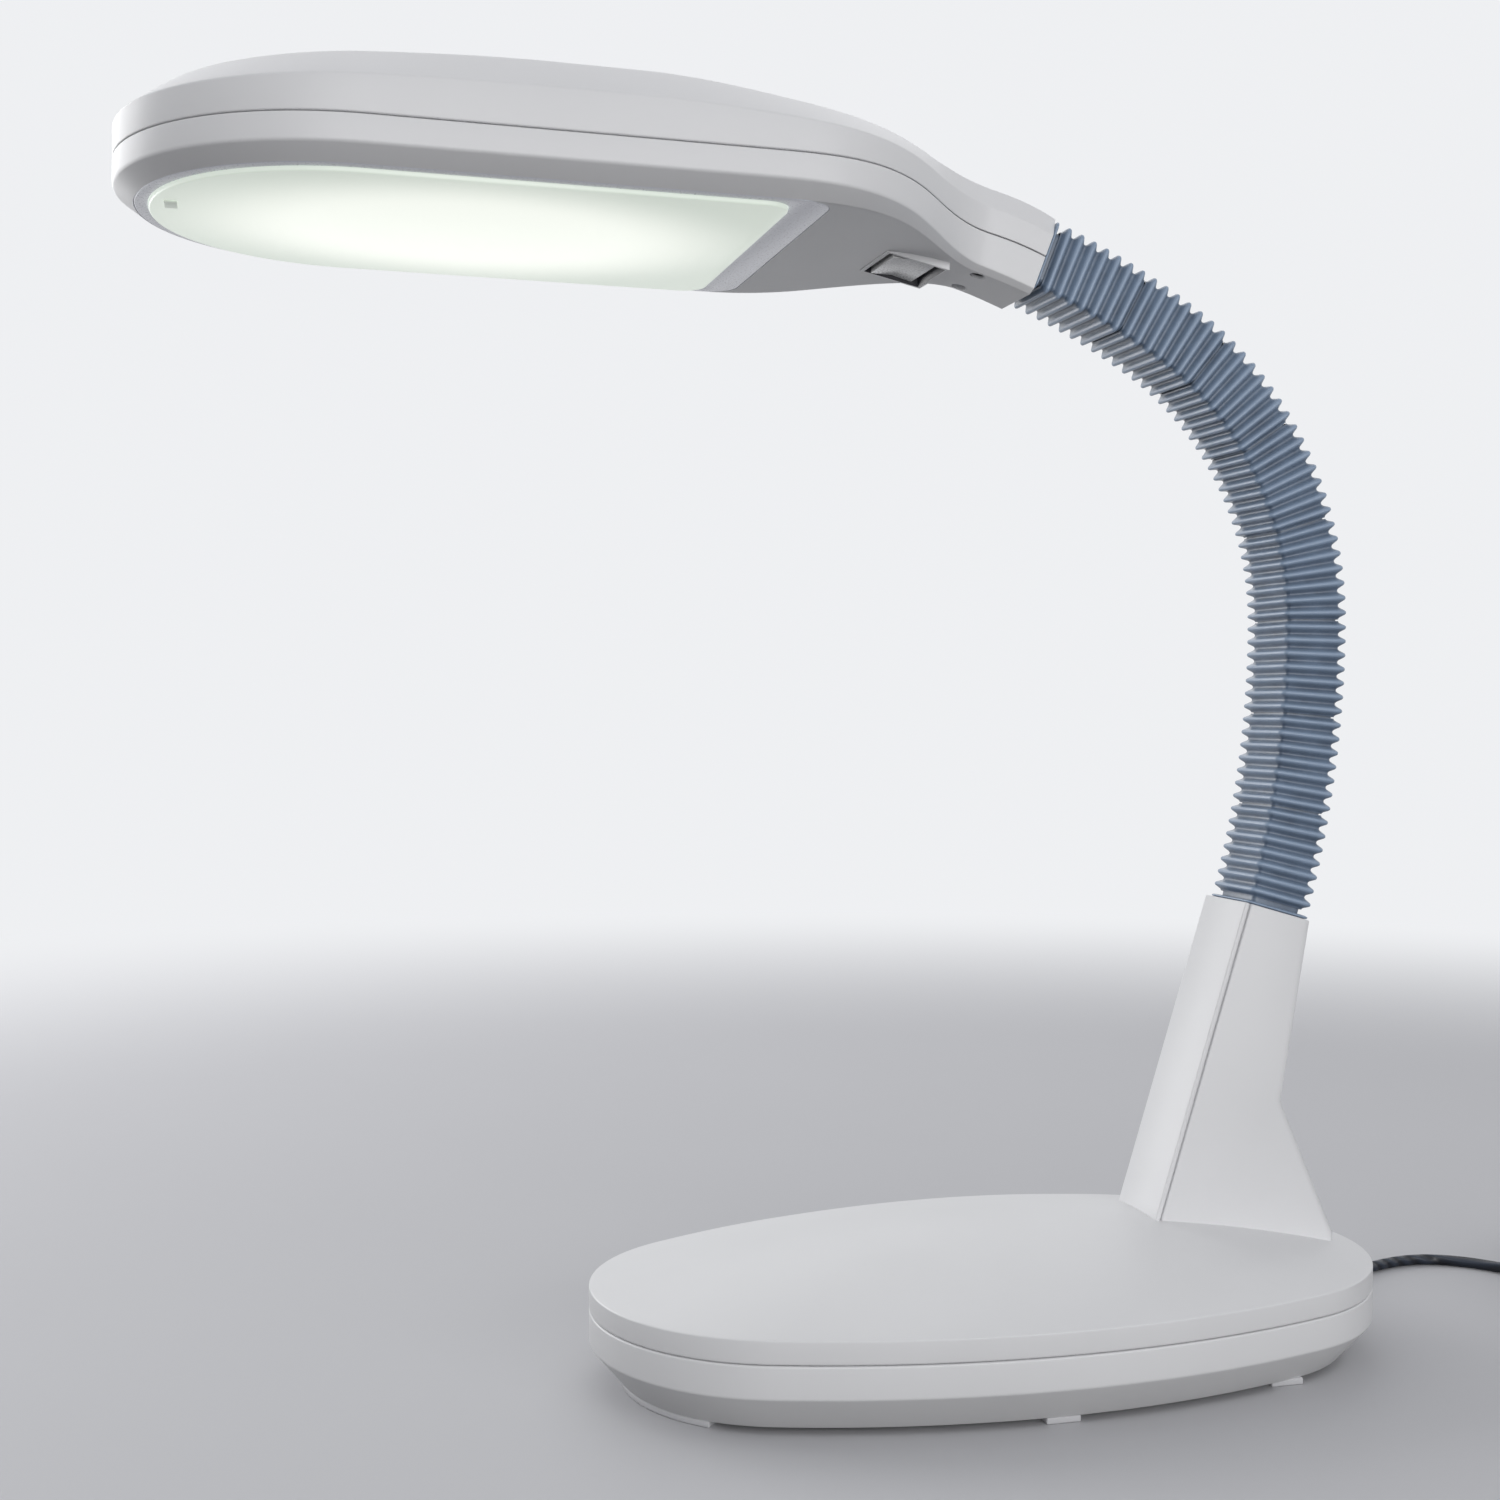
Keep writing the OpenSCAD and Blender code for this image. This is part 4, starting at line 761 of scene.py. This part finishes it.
def makeNeck(n):
    step = (neckLength - 2 * n["hingeIn"]) / n["lengths"]
    hinges = [n["hingeIn"] + k * step for k in range(n["lengths"] + 1)]
    knuckles = [knuckleRings(s, k in n["sideHinges"]) for k, s in enumerate(hinges)]
    upperCuff = neckLength - cuffProfile[-1][0] - n["cuffGap"]
    cuffs = (("lower", n["cuffGap"], knuckles[0], "base"), ("upper", upperCuff, knuckles[-1], "head"))
    for end, place, knuckle, body in cuffs:
        rim = tubeRings([(place + t, h) for t, h in cuffProfile])
        cuff = makeHose("hose_" + end, rim, knuckle)
        dress(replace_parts(cuff, "neck_%s_cuff" % end), body, "hose_rubber")
    for k in range(1, n["lengths"] + 1):
        shells = [ribRings(hinges[k - 1], hinges[k])] + ([knuckles[k]] if k < n["lengths"] else [])
        dress(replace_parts(makeHose("hose_%d" % k, *shells), "neck_sleeve_%d" % k), "neck_%d" % k, "hose_rubber")


makeNeck(neckShape)
print("neck made, mm:", round(neckLength, 1))


# head: two shells round the lens, drawn in at a waist to a square collar
# tip and waist fall by (depth, start, length), the collar by (depth, length, power), low and seam by (rate, start)
headShape = {"radius": 68, "tipBack": 214, "height": 33.7, "tilt": 0.7, "drop": 2.7, "waist": 106, "waistSkew": 1.62,
             "collarLen": 19.6, "collarHalf": 13.8, "collarEdge": 0.35, "tipFall": (4.8, 165, 110),
             "waistFall": (7.7, 140, 85), "collarFall": (11.3, 37, 1.5), "lowFall": (0.00263, 62),
             "seamFall": (0.00318, 56.3), "shearStart": 40, "bandFoot": 4.3, "seam": 12.0, "bevelFoot": 23.3,
             "bevel": 11, "chamfer": 6, "sole": 3,
             "crownPath": ((30, 0.7, 12), (44, 0.9, 0)), "seamRound": 0.6, "bevelFootRound": 1.5, "bevelRound": 3,
             "bandRound": 1.6, "soleRound": 0.9, "shell": 2.4, "thinnest": 0.8, "seamGap": 0.25,
             "bore": 8.6, "boreSpan": (-0.5, 6), "borePoints": 48, "tipPoints": 30, "sidePoints": 12, "waistPoints": 40}
headPlace = (Matrix.Translation((neckEnd.x * mm, 0, neckEnd.y * mm))
             @ Matrix.Rotation(math.radians(headShape["tilt"]), 4, "Y")
             @ Matrix.Translation((0, 0, -headShape["drop"] * mm)))


def lowZ(x, h=headShape):
    rate, start = h["lowFall"]
    return -rate * max(x + start, 0) ** 2


def seamZ(x, h=headShape):
    rate, start = h["seamFall"]
    return h["seam"] - rate * max(x + start, 0) ** 2


def topZ(x, h=headShape):
    tip, waist, collar = h["tipFall"], h["waistFall"], h["collarFall"]
    fall = tip[0] * ease((-x - tip[1]) / tip[2]) + waist[0] * ease((x + waist[1]) / waist[2])
    return h["height"] - fall - collar[0] * max(x / collar[1] + 1, 0) ** collar[2]


def edgeScale(x, h=headShape):
    return lerp(1, h["collarEdge"], ease((x + h["waist"]) / h["waist"]))


def skinZ(x, z, h=headShape):
    # a height on the full section, carried to where the section has sunk or thinned
    foot = lowZ(x) + h["bandFoot"] * edgeScale(x)
    if z <= h["bandFoot"]:
        return lerp(lowZ(x), foot, z / h["bandFoot"])
    if z <= h["seam"]:
        return lerp(foot, seamZ(x), (z - h["bandFoot"]) / (h["seam"] - h["bandFoot"]))
    return lerp(seamZ(x), topZ(x), (z - h["seam"]) / (h["height"] - h["seam"]))


def headRing(inset, wall, z, h=headShape):
    slope = math.tan(math.pi / 2 + neckEndAngle - math.radians(h["tilt"]))

    def place(x, y):
        # the collar leans until its end lies square to the neck
        up = skinZ(x, z)
        return (x + slope * ease((x + h["shearStart"]) / h["shearStart"]) * (up - h["drop"]), y, up)
    near = []
    r = h["radius"] - inset - wall
    for k in range(h["tipPoints"]):
        a = math.radians(90 * k / h["tipPoints"])
        near.append(place(-h["tipBack"] - r * math.cos(a), -r * math.sin(a)))
    stations = [lerp(-h["tipBack"], -h["waist"], k / h["sidePoints"]) for k in range(h["sidePoints"])]
    stations += [-h["waist"] * (1 - k / h["waistPoints"]) for k in range(h["waistPoints"] + 1)]
    for x in stations:
        drawn = max(x + h["waist"], 0) / (h["waist"] - h["collarLen"])
        half = lerp(h["radius"], h["collarHalf"], ease(drawn ** h["waistSkew"]))
        edge = inset * edgeScale(x) + wall
        near.append(place(min(x, -wall), -max(half - edge, h["thinnest"])))
    return near + [(x, -y, z) for x, y, z in reversed(near[1:])]


def racetrack(radius, rear, corner, h=headShape, tipPoints=64, cornerPoints=12):
    # round at the tip, with two rounded corners at the rear
    ring = []
    for k in range(tipPoints + 1):
        a = math.pi / 2 + math.pi * k / tipPoints
        ring.append(Vector((-h["tipBack"] + radius * math.cos(a), radius * math.sin(a))))
    for side, start in ((-1, -math.pi / 2), (1, 0)):
        for k in range(cornerPoints + 1):
            a = math.pi / 2 * k / cornerPoints + start
            ring.append(Vector((rear - corner + corner * math.cos(a), side * (radius - corner) + corner * math.sin(a))))
    return ring


def plateFrom(name, outline, z0, z1):
    return skinRings(name, [[(p.x, p.y, z) for p in outline] for z in (z0, z1)])


def cutWith(obj, cutter):
    useModifier(obj, "BOOLEAN", operation="DIFFERENCE", solver="EXACT", object=cutter)
    bpy.data.objects.remove(cutter)


def collarBore(h):
    # the mouth in which the neck's last seat swings
    across = Vector((math.cos(neckEndAngle), -math.sin(neckEndAngle)))
    ahead = Vector((math.sin(neckEndAngle), math.cos(neckEndAngle)))
    rings = []
    for t in h["boreSpan"]:
        spots = [(neckEnd + ahead * t + across * p.x, p.y) for p in circlePath(0, 0, h["bore"], h["borePoints"])]
        rings.append([(q.x, y, q.y) for q, y in spots])
    return skinRings("cutCollar", rings)


def makeHeadTop(h):
    t, seam, top = h["shell"], h["seam"], h["height"]
    # the crown's path is (inset, rise, radius)
    crown = [(inset, top + rise, r) for inset, rise, r in h["crownPath"]]
    outside = roundPath([(t, seam, 0), (0, seam, h["seamRound"]), (0, h["bevelFoot"], h["bevelFootRound"]),
                         (h["bevel"], top, h["bevelRound"])] + crown)
    inside = [headRing(h["bevel"], t, top - t), headRing(0, t, h["bevelFoot"])]
    obj = skinRings("headTop", inside + [headRing(p.x, 0, p.y) for p in outside], ends="ladder")
    obj.data.transform(headPlace)
    cutWith(obj, collarBore(h))
    return finishMesh(obj, angle=40)


# what is cut from the lower shell; a depth is (lowest, highest)
headCuts = {"frameRadius": 62.2, "frameRear": -83.8, "frameCorner": 10, "frameDepth": (-4, 2.2), "switchX": -42.7,
            "switchLen": 20.8, "switchWid": 28, "switchDepth": (-9, 7), "screw": (-21, 8.2), "screwHole": 2.5,
            "screwPoints": 24, "screwDepth": (-12, 7)}


def makeHeadBottom(h, c):
    t, seam = h["shell"], h["seam"] - h["seamGap"]
    outside = roundPath([(t, seam, 0), (0, seam, h["seamRound"]), (0, h["bandFoot"], h["bandRound"]),
                         (h["chamfer"], 0, h["soleRound"]), (h["chamfer"] + h["sole"], 0, 0)])
    inside = [headRing(h["chamfer"], t, t), headRing(0, t, h["bandFoot"])]
    obj = skinRings("headBottom", inside + [headRing(p.x, 0, p.y) for p in outside], ends="ladder")
    seat = racetrack(c["frameRadius"], c["frameRear"], c["frameCorner"])
    cutWith(obj, plateFrom("cutFrame", seat, *c["frameDepth"]))
    hx, hy = c["switchLen"] / 2, c["switchWid"] / 2
    hole = [Vector((c["switchX"] + x, y)) for x, y in ((-hx, -hy), (hx, -hy), (hx, hy), (-hx, hy))]
    cutWith(obj, plateFrom("cutSwitch", hole, *c["switchDepth"]))
    for side in (-1, 1):
        ring = circlePath(c["screw"][0], side * c["screw"][1], c["screwHole"], c["screwPoints"])
        cutWith(obj, plateFrom("cutScrew", ring, *c["screwDepth"]))
    obj.data.transform(headPlace)
    cutWith(obj, collarBore(h))
    return finishMesh(obj, angle=40)


# switch frame: stands further out towards the collar, with a thin rim round a well painted dark as shade
bezelShape = {"x": -42.7, "halfLen": 10.2, "halfWid": 13.8, "wall": 2.4, "rim": 1.0, "lowTip": -0.6, "lowCollar": -4.9,
              "edge": 0.35, "keepAbove": -2, "lip": 1, "facing": -0.2}


def makeBezel(b):
    toHead = headPlace.inverted()

    def reshape(obj):
        obj.data.transform(toHead)
        for v in obj.data.vertices:
            x, y, z = v.co.x / mm - b["x"], v.co.y / mm, v.co.z / mm
            if z > b["keepAbove"]:
                continue
            if abs(x) < b["halfLen"] - b["lip"] and abs(y) < b["halfWid"] - b["lip"]:
                grow = b["wall"] - b["rim"]
                x, y = x + math.copysign(grow, x), y + math.copysign(grow, y)
            z = lerp(b["lowTip"], b["lowCollar"], (x / b["halfLen"] + 1) / 2)
            v.co = Vector((x + b["x"], y, z)) * mm
        obj.data.transform(headPlace)
    obj = softCopy("switch_body", "switchBezel", b["edge"], shape=reshape)
    # which faces look into the well, for the painted shade
    mark = obj.data.attributes.new("inside", "FLOAT", "FACE")
    for face in obj.data.polygons:
        c = toHead @ face.center / mm
        n = toHead.to_3x3() @ face.normal
        inward = n.x * (c.x - b["x"]) + n.y * c.y < b["facing"]
        well = abs(c.x - b["x"]) < b["halfLen"] - b["rim"] and abs(c.y) < b["halfWid"] - b["rim"]
        mark.data[face.index].value = 1 if well and (inward or c.z > 0) else 0
    return obj


dress(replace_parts(makeHeadTop(headShape), "head_top_cover"), "head", "white_plastic")
dress(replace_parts(makeHeadBottom(headShape, headCuts), "head_bottom_cover"), "head", "white_plastic")
dress(softCopy("lens_frame", "lensFrame", 0.45), "head", "frame_plastic")
dress(softCopy("lens", "lensPanel", 0.8), "head", "lens_diffuser")
dress(softCopy("lens_catch", "lensCatch", 0.15), "head", "frame_plastic", "catch_lit")
dress(makeBezel(bezelShape), "head", "white_plastic", "switch_well")
dress(softCopy("switch_rocker", "rockerKey", 0.6), "rocker", "rocker_plastic")
print("head made")


# floor, backdrop and lights
stageLook = {"size": 12, "floor": (0.66, 0.66, 0.68), "duller": 0.97, "floorBounce": (0.1, 0.1, 0.105), "rough": 0.6,
             "specular": 0.2, "cloudScale": 6, "back": (0.86, 0.87, 0.89), "fade": (0.6, 1.4),
             "room": (0.94, 0.955, 1.0), "roomStrength": 0.38}
studioLights = {
    "windowLight": {"place": (0.0, 1.3, 1.4), "aim": (-0.05, 0, 0.15), "size": (2.0, 1.6), "power": 6},
    "frontFill": {"place": (0.1, -1.7, 0.42), "aim": (-0.05, 0, 0.2), "size": (2.2, 1.1), "power": 18},
    "sideLight": {"place": (-1.2, 1.2, 0.55), "aim": (0.0, 0, 0.2), "size": (1.3, 1.2), "power": 13.5},
}


def addSeen(tree, links):
    # one for rays that show the background: the camera's, reflected or passed through
    path = tree.new("ShaderNodeLightPath")
    seen = path.outputs["Is Camera Ray"]
    for ray in ("Is Glossy Ray", "Is Transmission Ray"):
        seen = addMath(tree, links, "MAXIMUM", seen, path.outputs[ray])
    return seen


def makeFloor(look):
    # pale to the camera and in reflections, duller as a bounce, and fading into the backdrop far off
    bpy.ops.object.select_all(action="DESELECT")
    bpy.ops.mesh.primitive_plane_add(size=look["size"], location=(0, 0, 0))
    floor = bpy.context.object
    floor.name = "paleFloor"
    mat, tree, links, shader = newFinish("pale_floor")
    coords = tree.new("ShaderNodeTexCoord").outputs["Object"]
    seen = addSeen(tree, links)
    cloud = addNoise(tree, links, coords, look["cloudScale"], 4)
    pale = addMix(tree, links, cloud, [x * look["duller"] for x in look["floor"]], look["floor"])
    links.new(addMix(tree, links, seen, look["floorBounce"], pale), shader.inputs["Base Color"])
    setInputs(shader, {"Roughness": look["rough"], "Specular IOR Level": look["specular"]})
    span = tree.new("ShaderNodeVectorMath")
    span.operation = "LENGTH"
    links.new(coords, span.inputs[0])
    far = addRamp(tree, links, span.outputs["Value"], look["fade"])
    haze = tree.new("ShaderNodeEmission")
    haze.inputs["Color"].default_value = (*look["back"], 1)
    share = addMath(tree, links, "MULTIPLY", far, seen)
    mixed = addShaderMix(tree, links, share, shader.outputs["BSDF"], haze.outputs["Emission"])
    links.new(mixed, tree["Material Output"].inputs["Surface"])
    floor.data.materials.append(mat)


def makeRoom(look):
    # even light, with the backdrop's own colour where it is seen
    world = bpy.data.worlds.new("softRoom")
    bpy.context.scene.world = world
    world.use_nodes = True
    tree, links = world.node_tree.nodes, world.node_tree.links
    plain = tree["Background"]
    setInputs(plain, {"Color": (*look["room"], 1), "Strength": look["roomStrength"]})
    pale = tree.new("ShaderNodeBackground")
    pale.inputs["Color"].default_value = (*look["back"], 1)
    mixed = addShaderMix(tree, links, addSeen(tree, links), plain.outputs["Background"], pale.outputs["Background"])
    links.new(mixed, tree["World Output"].inputs["Surface"])


def softLight(name, place, aim, size, power):
    bpy.ops.object.select_all(action="DESELECT")
    turn = (Vector(place) - Vector(aim)).to_track_quat("Z", "Y").to_euler()
    bpy.ops.object.light_add(type="AREA", location=place, rotation=turn)
    lamp = bpy.context.object
    lamp.name = name
    lamp.data.shape = "RECTANGLE"
    lamp.data.size, lamp.data.size_y = size
    lamp.data.energy = power


makeFloor(stageLook)
makeRoom(stageLook)
for name, light in studioLights.items():
    softLight(name, **light)
print("stage set")

bpy.context.scene.view_settings.view_transform = "Standard"
